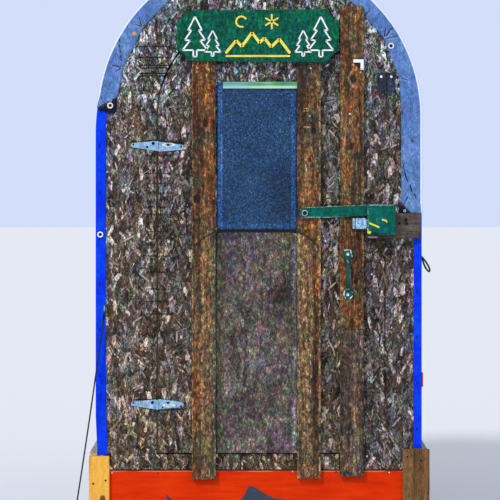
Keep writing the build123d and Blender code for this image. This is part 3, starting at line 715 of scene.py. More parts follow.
def build_timbers():
    """The hut's boards and timbers, with the marks on its battens."""
    strand_board("strand_board")
    strand_board("door_strand_board", 0.96)
    left, middle, right = (
        timber(name + "_batten_wood", RUST_TONES, second=OLIVE_TONES, grit=1.2, contrast=1.15,
               knots=knots) for name, knots in BATTEN_KNOTS.items())
    timber("keeper_wood", GREY_TONES, grain_axis="x", grit=0.35)
    timber("plank_wood", PALE_TONES, grain_axis="y", scale=0.6, grit=0.25)
    timber("pine_wood", PINE_TONES, knots=((103, 499, 12), (100.449, 548.822, 10)),
           wear=0.12, scale=0.7, contrast=0.6, grit=0.08)
    timber("brown_wood", BROWN_TONES, knots=((414.772, 522.297, 12),), grit=0.3)
    timber("sawn_wood", SAWN_TONES, wear=0.2, scale=0.8)
    timber("deck_wood", SAWN_TONES, grain_axis="x", wear=0.7, scale=0.5)
    below_joint = 1 - (right.z - photo_z(329.0)).rise(0.0, 0.002)
    right.lay(below_joint * 0.75, right.ramp(right.tone, *DUSK_TONES))
    left_box, middle_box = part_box("left_batten"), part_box("middle_batten")
    scribe_arch(left, left_box[1][0], left_box[0][0], photo_x(201.0))
    scribe_arch(middle, middle_box[0][0], middle_box[1][0] - 0.004, photo_x(313.0))
    add_streak(left, (103, 62), (205.0, 209.5))
    add_streak(left, (330, 250), (205.5, 209.5), 0.3)
    add_streak(middle, (300, 210), (317.5, 320.0))
    middle.dim((middle.z - photo_z(215.0)).rise(-0.02, 0.02), 0.66, 0.76, 0.98)
    for row in (108.5, 111.0, 127.0):
        scratch = middle.bar(photo_x(303.5), photo_z(row) - 0.0014, photo_x(308.5),
                             photo_z(row) + 0.0014)
        middle.lay(scratch * middle.lines.rise(0.3, 0.5), paint(220, 150, 70))
    for wood in (left, middle, right):
        coat_timber(wood)


ENAMELS = (
    # name, colour, what is under it, where chips begin, gloss, streaks, grit, then pale edge
    # lines of painted highlights
    ("sign_paint", (8, 88, 68), (50, 96, 74), 0.68, 0.08, 0.3, 0.62),
    ("green_metal_paint", (0, 90, 80), (84, 124, 108), 0.7, 0.1, 0.25, 0.12),
    ("yellow_paint", (244, 222, 30), (140, 130, 40), 0.76),
    ("sign_yellow", (244, 218, 86), (120, 120, 50), 0.72),
    ("tack_paint", (232, 160, 44), (150, 100, 40), 0.8),
    ("white_line_paint", (244, 248, 250), (90, 120, 110), 0.72),
    ("white_metal_paint", (238, 240, 240), (120, 116, 110), 0.74),
    ("reflector_red", (206, 24, 30), (120, 20, 16), 0.8),
    ("slate_paint", (52, 62, 76), (150, 60, 30), 0.72),
    # near-black paint for pieces that stand in for the shade in gaps, slots, sockets and holes
    ("dark_recess", (14, 12, 14), (30, 26, 24), 0.9),
    ("bar_paint", (0, 92, 82), (84, 124, 108), 0.69, 0.1, 0.25, 0.36,
     ((BAR_HIGHLIGHTS, (170, 206, 194), 0.0021, 0.85),)),
    ("handle_paint", (0, 76, 66), (84, 124, 108), 0.69, 0.3, 0.25, 0.16,
     ((HANDLE_HIGHLIGHTS, (226, 242, 244), 0.0032, 1.0),
      (HANDLE_GLINTS, (150, 196, 204), 0.0032, 0.9))),
)
METALS = (
    # name, colour, metallic, roughness, marks, their scale, gloss
    ("galvanised", (146, 184, 220), 0.2, 0.42, 0.55, 130.0, 0.4),
    ("brass_metal", (206, 140, 66), 0.4, 0.4),
    ("rusty_metal", (52, 36, 28), 0.2, 0.6, 0.3, 60.0, 0.2),
    ("bare_steel", (160, 170, 182), 0.7, 0.36),
    ("padlock_metal", (142, 192, 232), 0.2, 0.4, 0.95, 150.0),
    ("dark_metal", (16, 18, 22), 0.3, 0.5, 0.3, 60.0, 0.2),
    ("screw_metal", (214, 214, 216), 0.4, 0.34),
)


def window_cloth():
    """Dark navy cloth with pale flecks in its weave and a lighter hem."""
    cloth = Finish("window_cloth", specular_ior_level=0.15)
    uv = cloth.node("UVMap", uv_map="cloth")
    chance, hue, _ = cloth.cells(420.0, cloth.stretched((1.0, 0.8, 1.0), uv))
    thread = cloth.noise(900.0, 2.0, cloth.stretched((1.0, 0.2, 1.0), uv))
    broad = cloth.noise(6.0, 4.0, uv)
    tone = chance * 0.4 + thread * 0.3 + broad * 0.35 - 0.03
    cool = cloth.ramp(tone, (0.15, 14, 30, 58), (0.45, 28, 60, 98), (0.7, 42, 84, 124),
                      (0.92, 96, 140, 176))
    warm = cloth.ramp(tone, (0.15, 20, 22, 56), (0.45, 44, 50, 94), (0.7, 46, 92, 96),
                      (0.92, 120, 118, 170))
    cloth.shade = cloth.blend(hue.rise(0.55, 0.7) * 0.7, cool, warm)
    low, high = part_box("window_sheet")
    shade = cloth.spot(high[0] - 0.05, low[2] + 0.12, 0.11, 0.24, 1.0)
    cloth.lay(shade * 0.45, paint(20, 28, 40))
    pale = cloth.ramp(tone, (0.2, 18, 54, 112), (0.5, 36, 82, 142), (0.9, 104, 150, 200))
    for hem, amount in ((1 - (cloth.x - low[0]).rise(0.017, 0.021), 0.9),
                        ((cloth.x - high[0]).rise(-0.024, -0.019), 0.66),
                        (1 - (cloth.z - low[2]).rise(0.022, 0.027), 0.35)):
        cloth.lay(hem * amount, pale)
    ridge = (cloth.x - low[0] - 0.019).near(0.0016, 0.7) * broad.rise(0.35, 0.6)
    cloth.lay(ridge * 0.6, paint(140, 178, 220))
    cloth.shade = cloth.grit(cloth.shade, 0.95, 0.8, cloth.stretched((2.2, 2.2, 2.8)))
    cloth.done(0.52 + chance * 0.2, chance * 0.5 + thread * 0.4 + ridge * 0.5, 0.001)


def mottled_panel():
    """Thin stained panel, mottled grey, brown and purple, with painted shade at its left edge
    and under the window.
    """
    panel = Finish("mottled_panel", specular_ior_level=0.25)
    slow = panel.noise(6.0, 5.0, (1.3, 1.0, 0.7), 0.6, 0.5)
    middle = panel.noise(34.0, 4.0, (1.0, 1.0, 0.8), 0.6, 0.4)
    quick = panel.noise(130.0, 4.0, (1.0, 1.0, 0.8), 0.7)
    chance = panel.cells(260.0, (1.2, 1.0, 0.9))[0]
    tone = (0.47 + (slow - 0.5) * 1.5 + (middle - 0.5) * 0.8 + (quick - 0.5) * 0.6
            + (chance - 0.5) * 0.16)
    panel.shade = panel.ramp(tone, (0.1, 26, 22, 26), (0.3, 56, 50, 48), (0.48, 84, 77, 72),
                             (0.62, 104, 95, 90), (0.8, 130, 120, 116), (0.97, 158, 150, 150))
    tint = panel.noise(5.0, 4.0, panel.stretched((1.0, 1.0, 0.8), shift=(4.0, 0.0, 2.0)))
    rust = panel.noise(70.0, 3.0, panel.stretched((1.0, 1.0, 0.7), shift=(1.0, 0.0, 7.0)))
    gouge = panel.bar(photo_x(244), photo_z(360), photo_x(247), photo_z(329), 0.004)
    gouge = gouge * quick.rise(0.4, 0.55)
    chipped = panel.spot(photo_x(242.5), photo_z(322.5), 0.008, 0.022)
    for mask, colour in (
            (tint.rise(0.5, 0.64) * 0.35, (82, 76, 104)),
            ((0.46 - tint).rise(0.0, 0.1) * 0.4, (90, 88, 70)),
            (rust.rise(0.6, 0.68) * 0.4, (130, 84, 62)),
            # painted shade down the panel's left edge
            ((panel_low[0] + 0.03 - panel.x).rise(-0.016, 0.016) * 0.7, (66, 64, 46)),
            # painted shadow along the top, under the window cloth
            ((panel.z - panel_high[2] + 0.006).rise(0.0, 0.005) * 0.9, (10, 8, 12)),
            (gouge * 0.7, (18, 14, 16)),
            (chipped * quick.rise(0.4, 0.5) * 0.7, (176, 186, 190)),
            # painted shade under the window at its left
            (panel.spot(photo_x(230), photo_z(236), 0.07, 0.02) * 0.6, (24, 20, 32))):
        panel.lay(mask, paint(*colour))
    right = (panel.x - panel_high[0] + 0.016).rise(-0.004, 0.004)
    panel.lay(right * 0.6, panel.ramp(tone, (0.2, 70, 76, 84), (0.5, 112, 120, 130),
                                      (0.85, 170, 176, 184)))
    panel.shade = panel.grit(panel.shade, 1.0, 1.0)
    panel.done(0.66 + quick * 0.2, middle * 0.4 + quick * 0.5 + chance * 0.3 - gouge, 0.0016)


def orange_paint():
    """Vivid brushed paint on rough board."""
    coat = Finish("orange_paint", specular_ior_level=0.06)
    brush = coat.noise(60.0, 4.0, (0.12, 1.0, 1.0), 0.6)
    coat.shade = coat.ramp(brush * 0.5 + coat.noise(6.0, 4.0) * 0.5, (0.3, 184, 34, 0),
                           (0.5, 210, 46, 0), (0.7, 226, 62, 4))
    # rim: painted highlight along the skirt's top edge, broken by the brush marks
    rim = (coat.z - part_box("front_skirt")[1][2] + 0.006).rise(0.0, 0.004)
    coat.lay(rim * brush.rise(0.4, 0.55) * 0.6, paint(244, 150, 96))
    grime = coat.noise(18.0, 5.0, (1.0, 1.0, 0.4), 0.65)
    coat.dim(grime.rise(0.58, 0.8) * 0.3, 0.5, 0.42, 0.38)
    coat.done(0.45 + brush * 0.25, brush * 0.6 + grime * 0.3, 0.0006)


def pale_lath():
    """The window's top lath, in thin green paint that is whiter at its lower edge."""
    lath = Finish("pale_lath", specular_ior_level=0.2)
    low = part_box("window_top_strip")[0]
    brush = lath.noise(120.0, 4.0, (0.1, 1.0, 1.0), 0.6)
    lath.shade = lath.ramp(brush * 0.5 + lath.noise(14.0, 4.0) * 0.5, (0.3, 52, 126, 92),
                           (0.5, 88, 164, 120), (0.7, 140, 200, 152))
    lath.lay((low[2] + 0.01 - lath.z).rise(-0.003, 0.003) * 0.75, paint(196, 226, 206))
    lath.lay((low[0] + 0.1 - lath.x).rise(-0.05, 0.05) * 0.4, paint(110, 176, 196))
    lath.done(0.5 + brush * 0.2, brush, 0.0006)


def black_rubber():
    """Matt rubber with a dusty bloom."""
    rubber = Finish("black_rubber", specular_ior_level=0.3)
    dust = rubber.noise(90.0, 4.0)
    rubber.shade = rubber.ramp(dust, (0.35, 10, 14, 22), (0.55, 32, 44, 66), (0.75, 66, 82, 110))
    rubber.done(0.6 + dust * 0.2, dust, 0.0006)


def braided_line():
    """Black braided line, its strands turned round it."""
    line = Finish("braided_line", specular_ior_level=0.2)
    along, across, _ = line.parts("XYZ", line.node("UVMap", uv_map="cloth"))
    turned = across * (TURN / 0.0188) * 2
    strand = most_of((along * 900.0 + turned * way).sine() for way in (1, -1)) * 0.5 + 0.5
    line.shade = line.ramp(strand, (0.2, 6, 6, 8), (0.9, 38, 42, 50))
    line.done(0.7, strand, 0.001)


def loose_strand():
    """A strand that has lifted off the board, its tone its own."""
    strand = Finish("loose_strand", specular_ior_level=0.25)
    tone = strand.node("Attribute", result="Fac", attribute_name="tone")
    along = strand.node("VectorMath", {0: strand.node("UVMap", uv_map="cloth"),
                                       1: (60.0, 900.0, 1.0)}, operation="MULTIPLY")
    grain = strand.noise(1.0, 3.0, along, 0.65)
    strand.shade = strand.ramp(tone * 0.9 + (grain - 0.5) * 0.5, *STRAND_TONES)
    strand.done(0.7 + grain * 0.2, grain, 0.0006)


ROOF_TARP_ENDS = roof_tarp_ends()
build_timbers()
for settings in ENAMELS:
    enamel(*settings)
for settings in METALS:
    plain_metal(*settings)
woven_tarp("blue_tarp", ((0.25, 0, 20, 166), (0.5, 2, 50, 226), (0.75, 16, 92, 250)), 0.35)
# the last colour is the painted highlight along the outer edge and beside the creases
woven_tarp("grey_tarp", ((0.25, 54, 84, 138), (0.5, 86, 122, 182), (0.75, 124, 160, 214)),
           0.8, (228, 238, 252), ROOF_TARP_ENDS)
woven_tarp("dark_tarp", ((0.25, 10, 12, 24), (0.5, 22, 28, 46), (0.75, 44, 52, 80)))
for make_finish in (window_cloth, mottled_panel, orange_paint, pale_lath, black_rubber,
                    braided_line, loose_strand):
    make_finish()

NODE_FINISH = {
    "strand_board": ("front_wall_left", "front_wall_right", "front_wall_top",
                     "front_wall_sill", "back_wall"),
    "door_strand_board": ("door_leaf",),
    "sawn_wood": ("base_sills", "floor_joists", "front_rib", "middle_rib", "back_rib",
                  "door_studs"),
    "plank_wood": ("roof_purlins", "side_girts"),
    "deck_wood": ("floor_deck",),
    "brown_wood": ("back_corner_boards",),
    "orange_paint": ("front_skirt", "back_skirt"),
    "bare_steel": ("guy_eye", "guy_peg", "keeper_staple", "padlock_shackle"),
    "reflector_red": ("reflector",),
}


def dress_nodes():
    """Gives each CAD node that stays in view its finish."""
    for finish, names in NODE_FINISH.items():
        for name in names:
            materials = nodes[name].data.materials
            materials.clear()
            materials.append(FINISHES[finish])


# Making pieces

def add_piece(name, bm, finish, body, smooth=False, instead=None):
    """Turns a bmesh into an object that rides on a body, in place of a CAD node."""
    mesh = bpy.data.meshes.new(name)
    bm.to_mesh(mesh)
    bm.free()
    for polygon in mesh.polygons:
        polygon.use_smooth = smooth
    made = bpy.data.objects.new(name, mesh)
    bpy.context.collection.objects.link(made)
    mesh.materials.append(FINISHES[finish])
    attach(made, body)
    if instead:
        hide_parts(instead)
    return made


@contextmanager
def piece(name, finish, body, slot="bare_steel", smooth=False, instead=None):
    """A bmesh to fill, which becomes a piece when its block ends."""
    bm = bmesh.new()
    yield bm
    add_piece(name, bm, finish, body, smooth, instead)


def merge_into(bm, part):
    """Adds one bmesh to another and frees it."""
    scrap = bpy.data.meshes.new("scrap")
    part.to_mesh(scrap)
    part.free()
    bm.from_mesh(scrap)
    bpy.data.meshes.remove(scrap)


@contextmanager
def part_of(bm):
    """A bmesh to fill, which is added to another one when its block ends."""
    part = bmesh.new()
    yield part
    merge_into(bm, part)


def add_box(bm, low, high):
    """A box between two corners, added to a bmesh."""
    low, high = Vector(low), Vector(high)
    place = Matrix.Translation((low + high) / 2) @ Matrix.Diagonal((*(high - low), 1.0))
    return bmesh.ops.create_cube(bm, size=1.0, matrix=place)["verts"]


def add_disc(bm, centre, radius, thickness, sides=18, tip=None):
    """A round head that faces the front; tip is its radius there."""
    turn = Matrix.Rotation(math.pi / 2, 4, "X")
    return bmesh.ops.create_cone(
        bm, cap_ends=True, segments=sides, radius1=radius,
        radius2=radius if tip is None else tip, depth=thickness,
        matrix=Matrix.Translation(centre) @ turn)["verts"]


def add_screw(bm, place, radius=0.0045, height=0.0016):
    """A pan-head screw that faces the front, with a sunk drive."""
    with part_of(bm) as part:
        add_disc(part, Vector(place) - Vector((0.0, height / 2, 0.0)), radius, height, 16,
                 radius * 0.8)
        front = min(part.faces, key=lambda face: face.calc_center_median().y)
        bmesh.ops.inset_individual(part, faces=[front], thickness=radius * 0.42)
        bmesh.ops.translate(part, verts=front.verts[:], vec=(0.0, height * 0.6, 0.0))


def add_ring(bm, centre, radius, wire, sides=24):
    """A round wire ring that faces the front."""
    centre = Vector(centre)
    start = Matrix.Translation(centre + Vector((0.0, 0.0, radius)))
    circle = bmesh.ops.create_circle(bm, cap_ends=False, segments=8, radius=wire,
                                     matrix=start @ Matrix.Rotation(math.pi / 2, 4, "Y"))
    verts = circle["verts"]
    edges = list({edge for vert in verts for edge in vert.link_edges})
    bmesh.ops.spin(bm, geom=verts + edges, cent=centre, axis=(0.0, 1.0, 0.0), angle=TURN,
                   steps=sides, use_merge=True)


def add_stroke(bm, x0, z0, x1, z1, y, width, height):
    """A brushed stroke on a front face, rounded at its ends."""
    run = Vector((x1 - x0, 0.0, z1 - z0))
    middle = Matrix.Translation(((x0 + x1) / 2, y - height / 2, (z0 + z1) / 2))
    turn = Matrix.Rotation(-math.atan2(run.z, run.x), 4, "Y")
    bmesh.ops.create_cube(bm, size=1.0, matrix=middle @ turn @ Matrix.Diagonal(
        (run.length, height, width, 1.0)))
    for x, z in ((x0, z0), (x1, z1)):
        add_disc(bm, (x, y - height / 2, z), width / 2, height * 0.98, 12)


def add_pixel_stroke(bm, start, stop, y, width, height):
    """A brushed stroke from one pixel of the photograph to another."""
    add_stroke(bm, photo_x(start[0]), photo_z(start[1]), photo_x(stop[0]), photo_z(stop[1]),
               y, width, height)


def join_strokes(bm, points, y, width, height):
    """Strokes from point to point."""
    for (x0, z0), (x1, z1) in zip(points, points[1:]):
        add_stroke(bm, x0, z0, x1, z1, y, width, height)


def bevel(bm, edges, width, segments):
    """Rounds some edges of a bmesh."""
    bmesh.ops.bevel(bm, geom=edges, offset=width, offset_type="OFFSET", affect="EDGES",
                    segments=segments, profile=0.5, material=-1, clamp_overlap=True)


def rounded(bm, width, segments=2):
    """Rounds the sharp edges of a bmesh."""
    bevel(bm, [edge for edge in bm.edges if edge.calc_face_angle(0.0) > 0.5], width,
          segments)


def through(edge):
    """Whether an edge runs from the front of a board to its back."""
    return abs(edge.verts[0].co.y - edge.verts[1].co.y) > 0.001


def soften(node, finish, body, slot, width):
    """A copy of a CAD node with its edges rounded, in the node's place."""
    with piece(node + "_finished", finish, body, slot, instead=node) as bm:
        bm.from_mesh(nodes[node].data)
        bmesh.ops.remove_doubles(bm, verts=bm.verts[:], dist=1e-5)
        bmesh.ops.dissolve_limit(bm, angle_limit=0.02, verts=bm.verts[:], edges=bm.edges[:])
        rounded(bm, width)
        bmesh.ops.triangulate(bm, faces=[face for face in bm.faces if len(face.verts) > 4])


BOARD_STEP = 0.02
BOARD_EDGE = 0.0016


def worn_board(bm, low, high, wear, seed):
    """A board with soft, slightly uneven edges, added to a bmesh."""
    size = [high[i] - low[i] for i in range(3)]
    long_axis = size.index(max(size))
    cuts = int(size[long_axis] / BOARD_STEP)
    normal = Vector([1.0 if i == long_axis else 0.0 for i in range(3)])
    with part_of(bm) as part:
        add_box(part, low, high)
        rounded(part, BOARD_EDGE)
        for cut in range(1, cuts):
            at_cut = Vector(low) + normal * (size[long_axis] * cut / cuts)
            geometry = part.verts[:] + part.edges[:] + part.faces[:]
            bmesh.ops.bisect_plane(part, geom=geometry, plane_co=at_cut, plane_no=normal)
        middle_y = (low[1] + high[1]) / 2
        for vert in part.verts:
            shift = noise.noise_vector(vert.co * 34 + Vector((seed, seed, seed)))
            shift += noise.noise_vector(vert.co * 9 + Vector((seed, 3.0, seed))) * 1.2
            shift.y = min(shift.y, 0.0) if vert.co.y > middle_y else shift.y
            vert.co += shift * wear


def build_boards():
    """Battens, side planks and front corner boards with worn edges."""
    joint = photo_z(329.0)
    for name, node, finish, slot, wear, seed in (
            ("left_batten_board", "left_batten", "left_batten_wood", "batten_wood", 9, 1),
            ("middle_batten_board", "middle_batten", "middle_batten_wood", "batten_wood", 9, 2),
            ("right_batten_board", "right_batten", "right_batten_wood", "batten_wood", 9, 3),
            ("left_corner_board", "front_left_corner_board", "pine_wood", "new_pine", 4, 4),
            ("right_corner_board", "front_right_corner_board", "brown_wood", "brown_board",
             7, 5),
            ("left_plank", "left_side_plank", "plank_wood", "weathered_wood", 8, 6),
            ("right_plank", "right_side_plank", "plank_wood", "weathered_wood", 8, 6)):
        body = "door" if slot == "batten_wood" else "root"
        low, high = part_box(node)
        lengths = ((low[2], high[2]),)
        if node == "right_batten":
            lengths = ((low[2], joint - 0.0008), (joint + 0.0008, high[2]))
        with piece(name, finish, body, slot, instead=node) as bm:
            for z0, z1 in lengths:
                worn_board(bm, (low[0], low[1], z0), (high[0], high[1], z1), wear * 0.0001,
                           seed + z0)
    soften("keeper_block", "keeper_wood", "root", "weathered_wood", 0.0018)
    soften("window_top_strip", "pale_lath", "door", "pale_strip", 0.0012)
    soften("lower_door_panel", "mottled_panel", "door", "door_panel", 0.0012)


# Loose strands on the board

COVERS = [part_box(node) for node in (
    "left_batten", "middle_batten", "right_batten", "window_sheet", "lower_door_panel",
    "sign_board", "keeper_block", "lock_hood", "rubber_flap")]
WALL_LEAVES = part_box("hinge_wall_leaves")


def covered(x, z):
    """Whether something on the front already covers a place, or is close to it."""
    for low, high in COVERS:
        if low[0] - 0.03 < x < high[0] + 0.03 and low[2] - 0.04 < z < high[2] + 0.04:
            return True
    low, high = WALL_LEAVES
    if abs(x - high[0]) < 0.14 and min(abs(z - high[2] + 0.02), abs(z - low[2] - 0.02)) < 0.06:
        return True
    reach = math.hypot(x, max(0.0, z - spring_z))
    return reach > wall_half - (0.11 if z > spring_z - 0.4 else 0.07)


def add_strand(bm, tones, maps, centre, y, length, width, lean, curl, tone):
    """One thin strand, curled a little away from the board at its ends."""
    part = bmesh.ops.create_grid(bm, x_segments=4, y_segments=1, size=0.5)["verts"]
    turn = Matrix.Rotation(lean, 4, "Y")
    for face in {face for vert in part for face in vert.link_faces}:
        face[tones] = tone
        for loop in face.loops:
            loop[maps].uv = (loop.vert.co.x * length + tone, loop.vert.co.y * width)
    for vert in part:
        along, across = vert.co.x, vert.co.y
        narrow = 1 - 0.5 * abs(along * 2) ** 3
        vert.co = Vector(centre) + turn @ Vector((across * width * narrow, 0.0,
                                                  along * length))
        vert.co.y = y - 0.0011 - curl * (along * 2) ** 2 - 0.0006 * across


# Where the board is scratched pale
SCRATCHED = ((371.0, 66.0), (373.0, 80.0), (372.0, 57.0))


def build_strands():
    """A few hundred strands that stand off the front boards."""
    chance = random.Random(7)
    for name, body, slot, y, count in (
            ("loose_strands_wall", "root", "strand_board", face_y, 260),
            ("loose_strands_door", "door", "door_board", leaf_y, 240)):
        with piece(name, "loose_strand", body, slot) as bm:
            tones = bm.faces.layers.float.new("tone")
            maps = bm.loops.layers.uv.new("cloth")
            made = 0
            while made < count:
                x = chance.uniform(-wall_half, wall_half)
                z = chance.uniform(0.43, spring_z + wall_half)
                on_door = (leaf_low[0] + 0.045 < x < leaf_high[0] - 0.045
                           and leaf_low[2] + 0.045 < z < leaf_high[2] - 0.1)
                off_door = (x < leaf_low[0] - 0.045 or x > leaf_high[0] + 0.02
                            or z > leaf_high[2] + 0.045)
                if covered(x, z) or not (on_door if body == "door" else off_door):
                    continue
                add_strand(bm, tones, maps, (x, 0.0, z), y, chance.uniform(0.012, 0.05),
                           chance.uniform(0.0016, 0.0085), chance.gauss(0.0, 0.7),
                           chance.uniform(0.0, 0.0014), chance.uniform(0.05, 1.0))
                made += 1
            scratches = [place for place in SCRATCHED for _ in range(7)]
            for column, row in scratches if body == "root" else ():
                add_strand(bm, tones, maps,
                           (photo_x(column + chance.gauss(0.0, 2.2)), 0.0,
                            photo_z(row + chance.gauss(0.0, 4.0))), y,
                           chance.uniform(0.02, 0.055), chance.uniform(0.0009, 0.0022),
                           chance.gauss(-0.3, 0.45), 0.0006, chance.uniform(0.8, 1.0))
            bmesh.ops.solidify(bm, geom=bm.faces[:], thickness=0.0007)
            bmesh.ops.recalc_face_normals(bm, faces=bm.faces[:])


# Tarps

def outline(length, offset):
    """A point of the hut's edge; length runs over the roof from the left spring."""
    if length < 0:
        return Vector((-wall_half - offset, 0.0, spring_z + length)), Vector((-1.0, 0.0, 0.0))
    if length > arc_length:
        return (Vector((wall_half + offset, 0.0, spring_z - length + arc_length)),
                Vector((1.0, 0.0, 0.0)))
    angle = math.pi - length / wall_half
    out = Vector((math.cos(angle), 0.0, math.sin(angle)))
    return Vector((0.0, 0.0, spring_z)) + out * (wall_half + offset), out


def outline_length(x, z):
    """The place along the hut's edge nearest to a point of the front."""
    if z < spring_z:
        return z - spring_z if x < 0 else arc_length + spring_z - z
    return (math.pi - math.atan2(z - spring_z, x)) * wall_half


def spread(start, stop, step):
    """Even stations from start to stop."""
    count = max(1, round((stop - start) / step))
    return [start + (stop - start) * i / count for i in range(count + 1)]


def sheet_mesh(alongs, acrosses, place):
    """Cloth as a grid, each point put in place from its distance along and across."""
    bm = bmesh.new()
    bmesh.ops.create_grid(bm, x_segments=len(alongs) - 1, y_segments=len(acrosses) - 1,
                          size=1.0)
    layer = bm.loops.layers.uv.new("cloth")
    spots = {}
    for vert in bm.verts:
        i = round((vert.co.x + 1) / 2 * (len(alongs) - 1))
        j = round((vert.co.y + 1) / 2 * (len(acrosses) - 1))
        spots[vert] = (alongs[i], acrosses[j])
    for face in bm.faces:
        for loop in face.loops:
            loop[layer].uv = spots[loop.vert]
    for vert, (s, t) in spots.items():
        vert.co = place(s, t)
    bmesh.ops.recalc_face_normals(bm, faces=bm.faces[:])
    return bm


def thicken(made, thickness):
    """Gives a sheet its thickness, half to each side."""
    shell = made.modifiers.new("thickness", "SOLIDIFY")
    shell.thickness = thickness
    shell.offset = 0.0


def waver(x, y, z):
    """Slow noise from -1 to 1 at a place."""
    return noise.noise(Vector((x, y, z)))


def eased(part):
    """A number from 0 to 1 with its start and its end made soft."""
    return part * part * (3 - 2 * part)


def crest(s, t, seed):
    """Sharp-crested folds, for creased cloth, up to 1 at a crest."""
    value = waver(s * 3.1, t * 3.1, seed)
    value += 0.5 * waver(s * 8.3, t * 8.3, seed + 4)
    return max(-1.0, 1 - abs(value) * 2.2)


RETURN_BEND = 0.004
TARP_THICKNESS = 0.0006


def wrapped_tarp(name, node, alongs, offset, width_front, width_back, lift, wave, step,
                 cloth):
    """One tarp bent round the hut's edge, folded in on the front and the back."""
    fold = max(width_front(s) for s in alongs)
    fold_back = max(width_back(s) for s in alongs)
    bends = [-RETURN_BEND, 0.0, RETURN_BEND]
    acrosses = (spread(-fold, -RETURN_BEND, fold / 9)[:-1] + bends
                + spread(RETURN_BEND, depth - RETURN_BEND, step * 1.5)[1:-1]
                + [depth + bend for bend in bends]
                + spread(depth + RETURN_BEND, depth + fold_back, fold_back / 6)[1:])

    def place(s, t):
        edge, out = outline(s, offset(s))
        if t < 0:
            inset = width_front(s) * min(1.0, -t / fold)
            rise = wave(s, t, "front", inset) * min(1.0, inset / 0.012)
            return edge - out * inset + Vector((0.0, face_y - lift - rise, 0.0))
        if t > depth:
            inset = width_back(s) * min(1.0, (t - depth) / fold_back)
            rise = wave(s, t, "back", inset) * min(1.0, inset / 0.012)
            return edge - out * inset + Vector((0.0, back_y + lift + rise, 0.0))
        ends = min(1.0, min(t, depth - t) / 0.05)
        soft = eased(ends)
        y = face_y + t
        if t < RETURN_BEND:
            y = face_y - lift + (t / RETURN_BEND) * (lift + RETURN_BEND)
        if t > depth - RETURN_BEND:
            y = back_y + lift - ((depth - t) / RETURN_BEND) * (lift + RETURN_BEND)
        pulled = 0.0008 if t in (0.0, depth) else 0.0
        return edge + out * (wave(s, t, "side", 0.0) * soft - pulled) + Vector((0.0, y, 0.0))

    made = add_piece(name, sheet_mesh(alongs, acrosses, place), cloth, "root",
                     smooth=True, instead=node)
    thicken(made, TARP_THICKNESS)


def cut_edge():
    """The roof tarp's cut edge on the front, as points of the frame in their order."""
    corners = {}
    for vert in nodes["roof_tarp"].data.vertices:
        x, y, z = vert.co
        inset = wall_half - math.hypot(x, max(0.0, z - spring_z))
        if y < return_y + 0.0005 and inset > 0.02:
            corners[round(x, 4), round(z, 4)] = outline_length(x, z)
    low_left = min(vert.co.z for vert in nodes["roof_tarp"].data.vertices
                   if vert.co.x < -wall_half * 0.9)
    corners[-wall_half, low_left] = outline_length(-wall_half, low_left)
    return [Vector((x, 0.0, z)) for (x, z), _ in sorted(corners.items(),
                                                        key=lambda item: item[1])]


def inset_of_cut(points):
    """A function that gives how far in the cut edge lies at a place along the outline."""
    def inset(s):
        edge, out = outline(s, 0.0)
        origin = edge - out * wall_half
        for first, second in zip(points, points[1:]):
            if outline_length(first.x, first.z) - 1e-6 <= s <= outline_length(
                    second.x, second.z) + 1e-6:
                run = second - first
                turning = out.x * run.z - out.z * run.x
                if abs(turning) < 1e-9:
                    break
                start = first - origin
                return wall_half - (start.x * run.z - start.z * run.x) / turning
        nearest = points[0] if s < 0 else points[-1]
        return wall_half - math.hypot(nearest.x, max(0.0, nearest.z - spring_z))
    return inset


STAPLE_PIXELS = ((143.0, 27.0), (121.5, 67.5), (363.6, 17.0), (384.5, 37.5), (400.5, 78.0))


RIB = 0.038


